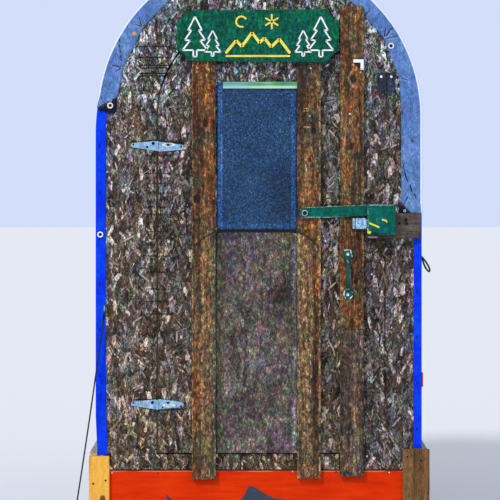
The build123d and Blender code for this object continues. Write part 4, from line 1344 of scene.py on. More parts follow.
def build_tarps():
    """The grey roof tarp, and a blue tarp down each side."""
    grey_front = inset_of_cut(cut_edge())
    roof_start, roof_stop = ROOF_TARP_ENDS
    staples = [outline_length(photo_x(px), photo_z(pz)) for px, pz in STAPLE_PIXELS]
    tarp_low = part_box("left_tarp")[0][2]
    bay = (depth - 2 * RIB) / 2

    def sag(t):
        return math.sin(math.pi * ((t - RIB) % bay) / bay) ** 2

    def blue_wave(seed):
        def wave(s, t, zone, inset):
            if zone == "side":
                free = sag(t)
                folds = crest(s * 0.5, t * 1.4, seed) * 0.5 - 0.5
                pleats = crest(s * 0.22, t * 3.1, seed + 9) * 0.5 - 0.3
                slow = waver(s * 2.0, t * 2.5, seed)
                deep = (slow * 0.0034 + folds * 0.0034 + pleats * 0.003) * (0.3 + free * 0.7)
                return max(0.0008 + deep - free * 0.0045, free * -0.012)
            tucks = waver(s * 15, t * 9, seed)
            return max(0.0, tucks) * 0.0024 + 0.0002
        return wave

    def grey_wave(s, t, zone, inset):
        if zone == "side":
            folds = crest(s * 0.8, t * 0.6, 7.0) * 0.5 - 0.3
            slow = waver(s * 2.2, t * 1.1, 3.0)
            pulls = crest(s * 1.6, t * 0.9, 21.0) * 0.5 - 0.3
            hem = min(1.0, 0.2 + min(s - roof_start, roof_stop - s) / 0.15)
            return 0.0012 + (folds * 0.0042 + slow * 0.0044 + pulls * 0.002
                             - sag(t) * 0.003) * hem
        near = min(abs(s - staple) for staple in staples)
        pinch = math.exp(-(near / 0.05) ** 2)
        pleats = max(0.0, 1 - abs(waver(s * 16, 2.0, t * 2)) * 5)
        crumple = waver(s * 38, t * 38, 8.0) * 0.5 + 0.5
        slack = waver(s * 7, t * 12, 5.0) * 0.5 + 0.5
        away = min(1.0, near / 0.02)
        return away * (pleats * (0.0016 + 0.0026 * pinch) + crumple * 0.0013 + slack * 0.0022)

    def cut_flap(width, low, high):
        """A return of one width, cut square at its ends."""
        def inset(s):
            uneven = 1 + 0.05 * waver(s * 6, width * 90, 0.0)
            return width * uneven if low < s < high else 0.0012
        return inset

    def stations(start, stop, step, *cuts):
        """Even stations, and two close together at each cut."""
        even = [s for s in spread(start, stop, step)
                if all(abs(s - cut) > 0.004 for cut in cuts)]
        return sorted(even + [cut + side * 0.0004 for cut in cuts for side in (-1, 1)])

    lap = 0.11
    left_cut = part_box("front_left_corner_board")[1][2] + 0.003 - spring_z
    right_cut = arc_length + spring_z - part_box("front_right_corner_board")[1][2] - 0.003
    side_low = tarp_low - spring_z
    left_flap = cut_flap(0.039, left_cut, roof_start)
    right_flap = cut_flap(0.031, roof_stop, right_cut)

    def left_offset(s):
        """The left tarp hangs a little proud below the roof tarp."""
        below = min(1.0, max(0.0, (roof_start + 0.03 - s) / 0.12))
        low = min(1.0, max(0.0, (s - left_cut) / 0.15))
        return 0.0012 + 0.0068 * eased(below) * low

    wrapped_tarp("left_side_tarp", "left_tarp",
                 stations(side_low, roof_start + lap, 0.014, left_cut, roof_start),
                 left_offset, left_flap, left_flap, 0.0006, blue_wave(2.0), 0.014, "blue_tarp")
    wrapped_tarp("right_side_tarp", "right_tarp",
                 stations(roof_stop - lap, arc_length - side_low, 0.014, roof_stop, right_cut),
                 lambda s: 0.0012, right_flap, right_flap, 0.0006, blue_wave(5.0), 0.014,
                 "blue_tarp")
    wrapped_tarp("grey_roof_tarp", "roof_tarp", spread(roof_start, roof_stop, 0.012),
                 lambda s: 0.004, grey_front, lambda s: 0.066, 0.0012, grey_wave, 0.012,
                 "grey_tarp")


# Window

def build_window():
    """The cloth over the window, hemmed and a little slack, and a painted shadow under it."""
    low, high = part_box("window_sheet")
    width, height = high[0] - low[0], high[2] - low[2]
    corner = 0.018

    def place(s, t):
        x, z = low[0] + t, low[2] + s
        if t < corner and s < corner:
            reach = math.hypot(corner - t, corner - s)
            if reach > corner:
                x += (corner - t) * (1 - corner / reach)
                z += (corner - s) * (1 - corner / reach)
        hem = min(t, width - t, s, height - s)
        loose = min(1.0, hem / 0.05)
        slack = waver(t * 9, s * 5, 1.0) * 0.001 * loose
        pull = crest(t * 3, s * 1.4, 12.0) * 0.0005 * loose
        thick = 0.0007 if hem < 0.019 else 0.0
        y = leaf_y - 0.0016 - loose * 0.0008 + slack - pull - thick
        return Vector((x, min(y, leaf_y - 0.0006), z))

    bm = sheet_mesh(spread(0.0, height, 0.008), spread(0.0, width, 0.008), place)
    made = add_piece("window_cloth", bm, "window_cloth", "door", smooth=True,
                     instead="window_sheet")
    thicken(made, 0.0008)
    # a dark box behind the gap under the cloth: painted shadow
    with piece("shadow_under_window", "dark_recess", "door", "door_board") as bm:
        add_box(bm, (low[0] + 0.002, leaf_y - 0.0004, panel_high[2] - 0.012),
                (high[0] - 0.002, leaf_y + 0.001, low[2] + 0.004))


# Door hardware

HINGE_HOLES = (
    # column, row, radius in millimetres, finish
    (153.1, 143.4, 4.8, "dark"), (147.3, 147.0, 3.6, "rust"), (133.5, 144.5, 2.8, "dark"),
    (168.2, 144.8, 4.4, "dark"), (181.4, 146.7, 3.2, "dark"), (162.3, 148.6, 2.2, "pale"),
    (152.5, 402.4, 4.8, "dark"), (146.4, 405.8, 3.4, "brass"), (133.3, 402.9, 2.8, "dark"),
    (168.2, 402.8, 4.4, "dark"), (181.0, 406.0, 3.2, "dark"), (162.6, 407.2, 2.6, "dark"),
)


def add_leaf(bm, x0, x1, y, middle, tilt, root, tip, corner):
    """One tapered hinge leaf from its knuckle at x0 to its rounded end at x1."""
    with part_of(bm) as part:
        add_box(part, (min(x0, x1), y - 0.003, -1.0), (max(x0, x1), y - 0.0002, 1.0))
        for vert in part.verts:
            near = abs(vert.co.x - x0) < 1e-6
            half = root if near else tip
            lean = 0.0 if near else tilt
            vert.co.z = middle + lean + (half if vert.co.z > 0 else -half)
        bevel(part, [edge for edge in part.edges if through(edge)
                     and all(abs(vert.co.x - x1) < 1e-6 for vert in edge.verts)], corner, 5)
        rounded(part, 0.0005, 1)


HOLE_FINISHES = {"dark": "dark_metal", "rust": "rusty_metal", "brass": "brass_metal",
                 "pale": "screw_metal"}
KNUCKLE_DROP = 0.0225
KNUCKLE_LENGTH = 0.0064
KNUCKLE_RADIUS = 0.0044
HOLE_SCALE = 1.25


def build_hinges():
    """Tapered strap hinges with their knuckles, holes and white oval rings."""
    pin_x, pin_y, _ = pivots["door_hinge"]
    pin_low, pin_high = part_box("hinge_wall_leaves")
    # side, name, body, wall, tip, corner, knuckles
    for side, name, body, wall, tip, corner, steps in (
            (-1, "wall", "root", face_y, 0.0075, 0.0042, (-0.0148, 0.0, 0.0148)),
            (1, "door", "door", leaf_y, 0.0092, 0.0075, (-0.0074, 0.0074))):
        node = "hinge_" + name + "_leaves"
        low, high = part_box(node)
        with piece(name + "_hinge_leaves", "galvanised", body, "galvanised",
                   instead=node) as bm:
            for middle, tilt, pin_z in (
                    (high[2] - KNUCKLE_DROP, 0.003, pin_high[2] - KNUCKLE_DROP),
                    (low[2] + KNUCKLE_DROP, 0.0026, pin_low[2] + KNUCKLE_DROP)):
                end = low[0] if side < 0 else high[0]
                add_leaf(bm, pin_x + side * 0.004, end, wall, middle, side * -tilt, 0.0188,
                         tip, corner)
                for step in steps:
                    bmesh.ops.create_cone(
                        bm, cap_ends=True, segments=18, radius1=KNUCKLE_RADIUS,
                        radius2=KNUCKLE_RADIUS, depth=KNUCKLE_LENGTH,
                        matrix=Matrix.Translation((pin_x, pin_y, pin_z + step)))
        for kind, finish in HOLE_FINISHES.items():
            holes = [(column, row, radius) for column, row, radius, kind_here in HINGE_HOLES
                     if kind_here == kind and (photo_x(column) > pin_x) == (side > 0)]
            if holes:
                with piece(name + "_hinge_holes_" + kind, finish, body) as bm:
                    for column, row, radius in holes:
                        add_disc(bm, at(column, row, wall - 0.0031),
                                 radius * MM * HOLE_SCALE, 0.0006, 18)
    with piece("hinge_ovals", "white_metal_paint", "door", smooth=True) as ovals:
        for row, half in ((144.7, 0.006), (405.0, 0.0044)):
            with part_of(ovals) as part:
                centre = at(168.9, row, leaf_y - 0.003)
                add_ring(part, centre, 0.006, 0.0011, 30)
                for vert in part.verts:
                    vert.co.x = centre.x + (vert.co.x - centre.x) * 3.3
                    vert.co.z = centre.z + (vert.co.z - centre.z) * half / 0.006


BATTEN_SCREWS = (
    # column and row of the photograph, then whether the head is pale
    (310.5, 68.5, 1), (309.5, 116, 1), (349.5, 114, 1), (198, 70, 0),
    (212, 92, 0), (197, 262, 0), (214, 300, 0), (206, 420, 0),
    (306, 270, 0), (316, 350, 0), (304, 430, 0), (356, 318, 0),
    (347, 345, 0), (355, 440, 0), (200, 440, 0),
)
WALL_SCREWS = (
    (137.5, 463, 1), (268.7, 460, 1), (327.5, 458.5, 1), (367, 456.3, 1),
    (371.7, 274.3, 1), (133, 126, 1), (390, 330, 0), (402, 420, 0),
    (115, 120, 0), (114, 300, 0), (113, 440, 0), (398, 140, 0),
)

def build_screws():
    """Screws in the battens, the walls and the door."""
    for name, places, y, body in (("batten", BATTEN_SCREWS, batten_y, "door"),
                                  ("wall", WALL_SCREWS, face_y, "root")):
        for pale, kind, finish, radius in ((1, "_screws", "screw_metal", 0.004),
                                           (0, "_rusty_screws", "rusty_metal", 0.0036)):
            with piece(name + kind, finish, body) as bm:
                for column, row, bright in places:
                    if bright == pale:
                        add_screw(bm, at(column, row, y + 0.0004), radius, 0.0013)
    with piece("door_screws", "screw_metal", "door") as bm:
        add_screw(bm, at(325.3, 240.7, leaf_y + 0.0004), 0.0045, 0.0016)
    with piece("brass_screw", "brass_metal", "door") as bm:
        add_screw(bm, at(330.3, 249.3, leaf_y + 0.0004), 0.0072, 0.002)
    with piece("bright_tab", "galvanised", "door") as bm:
        add_pixel_stroke(bm, (333.2, 248.4), (336.4, 246.0), leaf_y, 0.0062, 0.0009)


def build_flap():
    """Two rubber flaps over the hole beside the door, with their screws."""
    low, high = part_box("rubber_flap")
    middle = (low[0] + high[0]) / 2
    with piece("rubber_flaps", "black_rubber", "root", "black_rubber",
               instead="rubber_flap") as bm:
        for x0, x1, short in ((low[0], middle - 0.0009, 0.003), (middle + 0.0009, high[0], 0)):
            with part_of(bm) as part:
                add_box(part, (x0, low[1], low[2] + short), (x1, high[1], high[2]))
                bevel(part, [edge for edge in part.edges if through(edge)
                             and edge.verts[0].co.z < (low[2] + high[2]) / 2], 0.009, 5)
                rounded(part, 0.0005, 1)
    with piece("flap_screws", "white_metal_paint", "root") as bm:
        for column in (381.0, 391.0):
            add_screw(bm, at(column, 76.8, low[1] + 0.0002), 0.0052, 0.002)


def close_tube(bm):
    """Joins a rolled sheet into a tube, with its ends filled."""
    bmesh.ops.remove_doubles(bm, verts=bm.verts[:], dist=1e-5)
    bmesh.ops.holes_fill(bm, edges=[edge for edge in bm.edges if edge.is_boundary], sides=0)
    bmesh.ops.recalc_face_normals(bm, faces=bm.faces[:])


def build_wire_loop():
    """The bent wire on the right wall: one long drop-shaped loop."""
    low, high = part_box("wire_loop")
    y = (low[1] + high[1]) / 2
    top = Vector((low[0] + 0.001, y, high[2] - 0.002))
    run = Vector((high[0] - 0.004, y, low[2] - 0.001)) - top
    out = Vector((0.0, 1.0, 0.0))
    side = out.cross(run).normalized()

    def centre(s):
        turn = TURN * s
        return (top + run * (1 - math.cos(turn)) / 2
                + side * 0.008 * math.sin(turn) * abs(math.sin(turn / 2)))

    def place(s, t):
        ahead = (centre(s + 0.01) - centre(s - 0.01)).normalized()
        up = ahead.cross(out)
        return centre(s) + (out * math.cos(TURN * t) + up * math.sin(TURN * t)) * 0.0036

    bm = sheet_mesh(spread(0.0, 1.0, 1 / 48), spread(0.0, 1.0, 1 / 10), place)
    close_tube(bm)
    add_piece("bent_wire", bm, "black_rubber", "root", True, "wire_loop")


HANDLE_NECK = 0.015


def build_handle():
    """The cast handle: two domed pads that taper into a bowed grip."""
    low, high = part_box("door_handle")
    middle_x = (low[0] + high[0]) / 2
    pad = (high[0] - low[0]) / 2
    pads = (low[2] + pad, high[2] - pad)
    roots = (pads[0] + HANDLE_NECK, pads[1] - HANDLE_NECK)
    grip_y = low[1] + 0.0075
    foot = batten_y - 0.0036

    def centre(part):
        rise = eased(min(1.0, max(0.0, (0.5 - abs(part - 0.5)) / 0.3)))
        return Vector((middle_x, foot + (grip_y - foot) * rise,
                       roots[0] + (roots[1] - roots[0]) * part))

    def place(s, t):
        ahead = centre(min(1.0, s + 0.01)) - centre(max(0.0, s - 0.01))
        side = Vector((1.0, 0.0, 0.0))
        up = side.cross(ahead.normalized())
        thick = 0.0068 + 0.0013 * math.sin(math.pi * s) ** 2
        flare = 0.0042 * max(0.0, 1 - min(s, 1 - s) / 0.13)
        point = (centre(s) + side * (math.cos(TURN * t) * (thick + flare))
                 + up * (math.sin(TURN * t) * (thick - flare * 0.5)))
        point.y = min(point.y, batten_y - 0.0004)
        return point

    with piece("cast_handle", "handle_paint", "door", "green_metal",
               instead="door_handle") as bm:
        for pad_z, toward in zip(pads, (1, -1)):
            with part_of(bm) as part:
                add_disc(part, (middle_x, batten_y - 0.0022, pad_z), pad, 0.0044, 32,
                         pad * 0.9)
                for vert in part.verts:
                    lift = (vert.co.z - pad_z) * toward
                    if lift > pad * 0.55:
                        vert.co.x = middle_x + (vert.co.x - middle_x) * 0.86
                        vert.co.z = pad_z + toward * (lift + (lift - pad * 0.55) * 1.05)
                face = min(part.faces, key=lambda one: one.calc_center_median().y)
                bmesh.ops.inset_individual(part, faces=[face], thickness=0.0045)
                bmesh.ops.translate(part, verts=face.verts[:], vec=(0.0, 0.0012, 0.0))
                rounded(part, 0.0009)
        grip = sheet_mesh(spread(0.0, 1.0, 0.025), spread(0.0, 1.0, 1 / 14), place)
        close_tube(grip)
        merge_into(bm, grip)
    with piece("handle_screws", "screw_metal", "door") as bm:
        for pad_z in pads:
            add_screw(bm, (middle_x, batten_y - 0.0032, pad_z), 0.0062, 0.0024)


def build_bracket():
    """The white corner bracket, with painted shade in its pocket."""
    soften("corner_bracket", "white_metal_paint", "door", "white_metal", 0.0006)
    low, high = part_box("corner_bracket")
    # dark plate: painted shade in the bracket's pocket
    with piece("bracket_pocket", "dark_recess", "door", "black_rubber") as bm:
        verts = add_box(bm, (low[0] + 0.003, batten_y - 0.0012, low[2] + 0.004),
                        (high[0] - 0.011, batten_y + 0.0006, high[2] - 0.011))
        for vert in verts:
            if vert.co.x < (low[0] + high[0]) / 2 and vert.co.z < (low[2] + high[2]) / 2:
                vert.co.z = high[2] - 0.016


# Lock

def build_lock():
    """Softened bar, hood, padlock and pivot, with their marks."""
    soften("lock_bar", "bar_paint", "swing_lock", "green_metal", 0.0008)
    soften("lock_hood", "bar_paint", "swing_lock", "green_metal", 0.0008)
    soften("padlock_body", "padlock_metal", "swing_lock", "padlock_metal", 0.0012)
    soften("lock_pivot_bolt", "green_metal_paint", "door", "green_metal", 0.0005)
    pivot_x, _, pivot_z = pivots["lock_bar_pivot"]
    hood_x, hood_y, hood_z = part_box("lock_hood")[0]
    lock_low, lock_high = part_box("padlock_body")
    bolt_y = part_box("lock_pivot_bolt")[0][1]
    keeper_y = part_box("keeper_block")[0][1]
    with piece("pivot_ring", "screw_metal", "door", smooth=True) as bm:
        add_ring(bm, (pivot_x, bolt_y + 0.003, pivot_z), 0.0098, 0.0017)
    # dark disc: painted shade in the bolt's socket
    with piece("pivot_socket", "dark_recess", "door") as bm:
        add_disc(bm, (pivot_x, bolt_y - 0.0002, pivot_z), 0.006, 0.0008, 6)
    with piece("yellow_marks", "yellow_paint", "swing_lock", "green_metal") as bm:
        for start, stop, width in (((368.6, 222.6), (377.4, 226.4), 0.0058),
                                   ((381.2, 219.2), (384.2, 219.6), 0.0056),
                                   ((384.2, 219.6), (385.4, 221.2), 0.0056),
                                   ((366.2, 227.6), (367.0, 230.6), 0.0022),
                                   ((367.4, 231.4), (368.6, 231.7), 0.01)):
            add_pixel_stroke(bm, start, stop, hood_y + 0.0002, width, 0.0008)
    # dark boxes in the hood's lower edge: painted shadow in its slots
    with piece("hood_slot_shadows", "dark_recess", "swing_lock", "green_metal") as bm:
        for x0, x1, z0, z1 in ((hood_x + 0.01, photo_x(377.0), 0.001, 0.008),
                               (photo_x(379.5), photo_x(389.5), 0.004, 0.0066)):
            add_box(bm, (x0, hood_y - 0.0003, hood_z + z0), (x1, hood_y + 0.001, hood_z + z1))
    with piece("padlock_groove", "dark_metal", "swing_lock", "padlock_metal") as bm:
        groove_x = photo_x(354.4)
        add_box(bm, (groove_x - 0.0012, lock_low[1] - 0.0003, lock_low[2] - 0.0003),
                (groove_x + 0.0012, lock_high[1] + 0.0003, lock_high[2] + 0.0003))
    with piece("padlock_cap", "white_metal_paint", "swing_lock", "padlock_metal") as bm:
        add_box(bm, (lock_low[0] - 0.0004, lock_low[1] + 0.001, lock_low[2] + 0.001),
                (lock_low[0] + 0.006, lock_high[1] - 0.001, lock_high[2] - 0.001))
        rounded(bm, 0.0012)
    with piece("keeper_bolts", "dark_metal", "root") as bm:
        for column, row, radius in ((399.0, 223.2, 0.0046), (405.6, 219.9, 0.007),
                                    (406.2, 223.6, 0.006)):
            add_screw(bm, at(column, row, keeper_y + 0.0002), radius)


# Sign

def pine_outline(x, base, height, width):
    """Points of a plain three-tier pine, from its foot round its tip and back."""
    tiers = ((0.16, 0.5, 0.2), (0.42, 0.4, 0.14), (0.66, 0.28, 0.0))
    right = []
    for low, reach, neck in tiers:
        right.append((x + width * reach, base + height * low))
        right.append((x + width * neck, base + height * (low + 0.24)))
    right[-1] = (x, base + height)
    left = [(2 * x - px, pz) for px, pz in reversed(right[:-1])]
    foot = width * 0.07
    return ([(x + foot, base), (x + foot, base + height * 0.16)] + right + left
            + [(x - foot, base + height * 0.16), (x - foot, base), (x + foot, base)])


SCALLOP = 0.042
SCALLOP_DEPTH = 0.84
SIGN_TAPER = 0.06


def build_sign_plank():
    """The sign's plank: scalloped corners, and a little narrower at its left."""
    low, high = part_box("sign_board")
    with piece("sign_plank", "sign_paint", "door", "green_board", instead="sign_board") as bm:
        add_box(bm, low, high)
        bevel(bm, [edge for edge in bm.edges if through(edge)], SCALLOP, 6)
        centre = (Vector(low) + Vector(high)) / 2
        half = (Vector(high) - Vector(low)) / 2
        for vert in bm.verts:
            off = vert.co - centre
            beside, above = half.x - abs(off.x), half.z - abs(off.z)
            short = SCALLOP - beside - above
            if short > 1e-5:
                vert.co.x -= math.copysign(short * SCALLOP_DEPTH, off.x)
                vert.co.z -= math.copysign(short * SCALLOP_DEPTH, off.z)
            left = (high[0] - vert.co.x) / (high[0] - low[0])
            vert.co.z = centre.z + (vert.co.z - centre.z) * (1 - SIGN_TAPER * left)
        rounded(bm, 0.0016)


def build_sign():
    """Plain winter motifs in place of the sign's own pictures and words."""
    build_sign_plank()
    low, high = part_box("sign_board")
    middle = (low[0] + high[0]) / 2
    with piece("sign_pines", "white_line_paint", "door", "green_board") as bm:
        for side in (-1, 1):
            for away, rise, height, width, line in ((0.236, 0.022, 0.15, 0.094, 0.0056),
                                                    (0.17, 0.024, 0.096, 0.062, 0.0048)):
                pine = pine_outline(middle + side * away, low[2] + rise, height, width)
                join_strokes(bm, pine, sign_y, line, 0.0012)
    with piece("sign_ridge", "sign_yellow", "door", "green_board") as bm:
        base = low[2] + 0.038
        ridge = ((-0.118, 0.0), (-0.082, 0.044), (-0.06, 0.022), (-0.022, 0.074),
                 (0.006, 0.036), (0.024, 0.054), (0.05, 0.02), (0.08, 0.05), (0.118, 0.0))
        sky = high[2] - 0.048
        join_strokes(bm, [(middle + x, base + z) for x, z in ridge], sign_y, 0.0105, 0.0014)
        join_strokes(bm, [(middle + x, base - 0.014) for x in (-0.118, 0.118)], sign_y,
                     0.007, 0.0014)
        for turn in range(3):
            angle = math.pi / 2 + turn * math.pi / 3
            x, z = math.cos(angle) * 0.026, math.sin(angle) * 0.026
            add_stroke(bm, middle + 0.052 - x, sky - z, middle + 0.052 + x, sky + z, sign_y,
                       0.006, 0.0014)
        moon = [(middle - 0.062 + math.cos(0.6 + i * 0.55) * 0.02,
                 sky + math.sin(0.6 + i * 0.55) * 0.02) for i in range(9)]
        join_strokes(bm, moon, sign_y, 0.0066, 0.0014)


# Skirt, nails and trim

FISH_OUTLINE = (
    # metres on the skirt, from the tail's tip along the back and home along the belly
    (-0.357, 0.318), (-0.342, 0.308), (-0.322, 0.286), (-0.292, 0.264), (-0.2, 0.276),
    (-0.12, 0.287), (-0.072, 0.293), (-0.058, 0.312), (-0.042, 0.345), (-0.028, 0.347),
    (-0.002, 0.333), (0.03, 0.312), (0.058, 0.3), (0.15, 0.294), (0.214, 0.28),
    (0.272, 0.252), (0.318, 0.214), (0.3, 0.2), (0.306, 0.188), (0.256, 0.166),
    (0.18, 0.136), (0.092, 0.118), (0.07, 0.082), (0.038, 0.084), (0.03, 0.112),
    (-0.08, 0.128), (-0.12, 0.096), (-0.15, 0.104), (-0.158, 0.148), (-0.282, 0.206),
    (-0.352, 0.15), (-0.362, 0.16), (-0.324, 0.236),
)


NAILS = (
    # name, finish, depth, radius, tip, columns and rows
    ("pale_nails", "screw_metal", skirt_y - 0.0004, 0.0034, 0.0026,
     ((112.0, 473.0), (292.5, 471.4), (389.3, 472.5))),
    ("dark_nails", "rusty_metal", skirt_y - 0.0004, 0.0034, 0.0026,
     ((158.0, 473.4), (336.0, 472.0))),
    ("corner_nails", "dark_metal", corner_y - 0.0002, 0.004, 0.0032,
     ((105.9, 479.7), (93.6, 483.1), (94.0, 530.0), (105.0, 560.0), (407.0, 456.0),
      (421.0, 460.0), (409.0, 540.0), (420.0, 565.0))),
)


def build_skirt():
    """A plain fish on the skirt, nail heads, and a dark strip of painted shadow along its top.
    """
    with piece("skirt_fish", "slate_paint", "root", "orange_skirt") as bm:
        bmesh.ops.create_circle(bm, cap_ends=True, segments=len(FISH_OUTLINE), radius=1.0)
        bm.verts.ensure_lookup_table()
        for vert, (x, z) in zip(bm.verts, FISH_OUTLINE):
            vert.co = Vector((x, skirt_y - 0.0002, z))
        bm.normal_update()
        bmesh.ops.triangulate(bm, faces=bm.faces[:])
        skin = bmesh.ops.extrude_face_region(bm, geom=bm.faces[:])
        bmesh.ops.translate(bm, vec=(0.0, -0.0007, 0.0), verts=[
            part for part in skin["geom"] if isinstance(part, bmesh.types.BMVert)])
        bmesh.ops.recalc_face_normals(bm, faces=bm.faces[:])
    for name, finish, y, radius, tip, places in NAILS:
        with piece(name, finish, "root") as bm:
            for column, row in places:
                add_disc(bm, at(column, row, y), radius, 0.001, 12, tip)
    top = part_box("front_skirt")[1][2]
    left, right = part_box("front_left_corner_board"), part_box("front_right_corner_board")
    # a dark box along the skirt's top: painted shadow in the joint
    with piece("skirt_joint_shadow", "dark_recess", "root", "orange_skirt") as bm:
        add_box(bm, (left[1][0] + 0.001, face_y - 0.0008, top - 0.0002),
                (right[0][0] - 0.001, face_y + 0.001, top + 0.0044))


FOLDED_CORNERS = (
    # name, wall under it, pixels of its corners
    ("left_folded_corner", "front_wall_left",
     ((97.4, 109.6), (118.0, 98.0), (115.4, 113.2), (110.0, 113.6))),
    ("right_folded_corner", "front_wall_right",
     ((399.4, 203.6), (410.6, 212.9), (405.0, 213.0), (398.2, 212.9))),
)
EYELETS = (
    # column, row, radius, how far in front of the tarp
    (110.3, 105.6, 0.0088, 0.0044), (391, 46, 0.0088, 0.0044),
    (100.3, 234.5, 0.0088, 0.0018), (404.6, 210.8, 0.004, 0.0044),
)
STITCHES = (
    # pixels: start, stop; then width in metres
    ((119.6, 38.8), (119.6, 41.6), 0.003), ((119.3, 44.8), (119.7, 47.4), 0.003),
    ((119.8, 49.6), (120.3, 52.2), 0.0028), ((120.6, 55), (121.4, 60.8), 0.0022),
    ((402.6, 162.5), (404.4, 171), 0.0024), ((404.6, 172.5), (407.2, 181), 0.0038),
    ((409.9, 185.2), (411.8, 191.2), 0.0038), ((414.2, 193.6), (415.8, 197.2), 0.003),
    ((411.8, 140.4), (412.4, 140.8), 0.0052), ((401.5, 111), (402.2, 114), 0.0018),
)


EDGE_EYELET_INSET = 0.017


def build_tarp_trim():
    """Folded tarp corners, eyelets, staples and stitches."""
    for name, wall, corners in FOLDED_CORNERS:
        columns = [column for column, _ in corners]
        rows = [row for _, row in corners]
        width = (max(columns) - min(columns)) * MM_PER_PIXEL * MM
        height = (max(rows) - min(rows)) * MM_PER_PIXEL * MM
        spots = [at(column, row, return_y - 0.003) for column, row in corners]

        def place(s, t):
            upper = spots[0].lerp(spots[1], s / width)
            lower = spots[3].lerp(spots[2], s / width)
            point = lower.lerp(upper, t / height)
            point.y -= (noise.noise(point * 60) * 0.5 + 0.5) * 0.0022
            return point

        bm = sheet_mesh(spread(0.0, width, 0.006), spread(0.0, height, 0.006), place)
        area = sum(face.calc_area() for face in bm.faces)
        made = add_piece(name, bm, "dark_tarp", "root", smooth=True)
        thicken(made, TARP_THICKNESS)
    edge_eyelets = []
    for length in (ROOF_TARP_ENDS[0] + EDGE_EYELET_INSET, ROOF_TARP_ENDS[1] - EDGE_EYELET_INSET):
        edge = outline(length, 0.0062)[0]
        edge_eyelets += [
            Matrix.Translation(edge + Vector((0.0, 0.09 + step * (depth - 0.18) / 3, 0.0)))
            @ Matrix.Rotation(math.pi / 2, 4, "Z") for step in range(4)]
    # eyelet_holes: dark discs, painted shade inside the eyelets
    for name, finish, slot, hollow in (
            ("eyelets", "white_metal_paint", "white_metal", False),
            ("eyelet_holes", "dark_recess", "black_rubber", True)):
        with piece(name, finish, "root", slot, smooth=not hollow) as bm:
            for column, row, size, forward in EYELETS:
                centre = at(column, row, return_y - forward)
                if hollow:
                    add_disc(bm, centre, size - 0.001, 0.0012, 18)
                else:
                    add_ring(bm, centre, size, size * 0.3)
            for turn in edge_eyelets:
                with part_of(bm) as part:
                    if hollow:
                        add_disc(part, (0.0, 0.0005, 0.0), 0.0065, 0.001, 18)
                    else:
                        add_ring(part, (0.0, 0.0, 0.0), 0.0078, 0.0024)
                    bmesh.ops.transform(part, matrix=turn, verts=part.verts)
    side_places = [(99.8, row) for row in range(146, 452, 46)]
    side_places += [(417.0, row + 7) for row in range(146, 452, 46) if row >= 245]
    for name, finish, places, half, front, tall in (
            ("staples", "bare_steel", STAPLE_PIXELS, 0.0055, 0.0022, 0.001),
            ("side_staples", "dark_metal", side_places, 0.0014, 0.0008, 0.006)):
        with piece(name, finish, "root") as bm:
            for column, row in places:
                x, z = photo_x(column), photo_z(row)
                add_box(bm, (x - half, return_y - front, z - tall),
                        (x + half, return_y + 0.001, z + tall))
    with piece("dark_stitches", "dark_metal", "root", "black_line") as bm:
        for start, stop, width in STITCHES:
            add_pixel_stroke(bm, start, stop, return_y - 0.0026, width, 0.002)
    with piece("orange_tack", "tack_paint", "root", "white_metal") as bm:
        add_disc(bm, at(134.2, 33.7, return_y - 0.0042), 0.0078, 0.0026, 18, 0.006)


ROPE_TURN = 0.003


def build_guy_line():
    """The line from the screw eye to the peg, with wraps at its top."""
    low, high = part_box("guy_line")
    top = Vector((high[0] - 0.003, high[1] - 0.003, high[2] - 0.001))
    foot = Vector((low[0] + 0.004, low[1] + 0.004, low[2] + 0.001))
    run = foot - top
    side = Vector((0.0, 1.0, 0.0)).cross(run).normalized()
    other = run.normalized().cross(side)

    def place(s, t):
        part = s / run.length
        centre = top + run * part + Vector((0.004 * math.sin(math.pi * part), 0.0, 0.0))
        angle = t / ROPE_TURN
        return centre + (side * math.cos(angle) + other * math.sin(angle)) * 0.0028

    bm = sheet_mesh(spread(0.0, run.length, 0.02),
                    spread(0.0, TURN * ROPE_TURN, TURN * ROPE_TURN / 10), place)
    close_tube(bm)
    add_piece("guy_rope", bm, "braided_line", "root", True, "guy_line")
    with piece("guy_wraps", "dark_metal", "root", "black_line", smooth=True) as bm:
        for wrap in range(4):
            centre = top + run.normalized() * (0.012 + wrap * 0.0052)
            bmesh.ops.create_uvsphere(bm, u_segments=14, v_segments=8, radius=0.0046,
                                      matrix=Matrix.Translation(centre)
                                      @ Matrix.Diagonal((1.0, 1.0, 0.72, 1.0)))


# Light, floor and camera

def add_sun(name, towards, strength, angle, colour):
    """A soft sun that shines from one direction."""
    data = bpy.data.lights.new(name, "SUN")
    data.energy = strength
    data.angle = angle
    data.color = colour
    lamp = bpy.data.objects.new(name, data)
    lamp.rotation_euler = Vector(towards).to_track_quat("Z", "Y").to_euler()
    bpy.context.collection.objects.link(lamp)


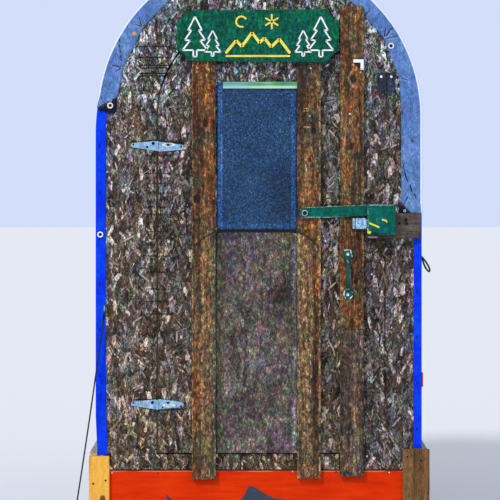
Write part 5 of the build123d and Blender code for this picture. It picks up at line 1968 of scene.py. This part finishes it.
def build_stage():
    """Pale floor, even light and the photograph's camera."""
    bm = bmesh.new()
    bmesh.ops.create_grid(bm, x_segments=1, y_segments=1, size=40.0)
    mesh = bpy.data.meshes.new("floor")
    bm.to_mesh(mesh)
    bm.free()
    floor = bpy.data.objects.new("floor", mesh)
    bpy.context.collection.objects.link(floor)
    snow = Finish("pale_floor", roughness=0.9, specular_ior_level=0.1)
    snow.feed(snow.shader.inputs["Base Color"], paint(226, 230, 238))
    mesh.materials.append(FINISHES["pale_floor"])
    world = bpy.context.scene.world = bpy.data.worlds.new("world")
    world.use_nodes = True
    tree = world.node_tree
    backdrop = tree.nodes["Background"]
    backdrop.inputs["Color"].default_value = (0.92, 0.95, 1.0, 1.0)
    backdrop.inputs["Strength"].default_value = 0.68
    white, path, mix, seen = (tree.nodes.new("ShaderNode" + kind) for kind in (
        "Background", "LightPath", "MixShader", "Math"))
    white.inputs["Color"].default_value = paint(210, 222, 250)
    seen.operation = "MAXIMUM"
    for start, stop in ((path.outputs["Is Camera Ray"], seen.inputs[0]),
                        (path.outputs["Is Glossy Ray"], seen.inputs[1]),
                        (seen.outputs[0], mix.inputs[0]), (backdrop.outputs[0], mix.inputs[1]),
                        (white.outputs[0], mix.inputs[2]),
                        (mix.outputs[0], tree.nodes["World Output"].inputs["Surface"])):
        tree.links.new(start, stop)
    add_sun("key", (-0.55, -1.0, 1.05), 1.7, 0.16, (1.0, 0.97, 0.93))
    add_sun("fill", (0.9, -0.7, 0.5), 0.3, 0.9, (0.92, 0.95, 1.0))
    camera = bpy.data.cameras.new("camera")
    seen_width = PHOTO_SIDE * MM_PER_PIXEL * MM
    camera.sensor_width = SENSOR
    camera.lens = SENSOR * CAMERA_DISTANCE / seen_width
    eye = photo_z(HORIZON_PIXEL)
    camera.shift_y = (photo_z(PHOTO_SIDE / 2) - eye) / seen_width
    view = bpy.data.objects.new("camera", camera)
    view.location = (photo_x(PHOTO_SIDE / 2), face_y - CAMERA_DISTANCE, eye)
    view.rotation_euler = (math.pi / 2, 0.0, 0.0)
    bpy.context.collection.objects.link(view)
    bpy.context.scene.camera = view
    bpy.context.scene.view_settings.view_transform = "Standard"


for build in (build_stage, dress_nodes, build_boards, build_strands, build_tarps,
              build_tarp_trim, build_window, build_hinges, build_screws, build_flap,
              build_wire_loop, build_handle, build_bracket, build_lock, build_sign,
              build_skirt, build_guy_line):
    build()
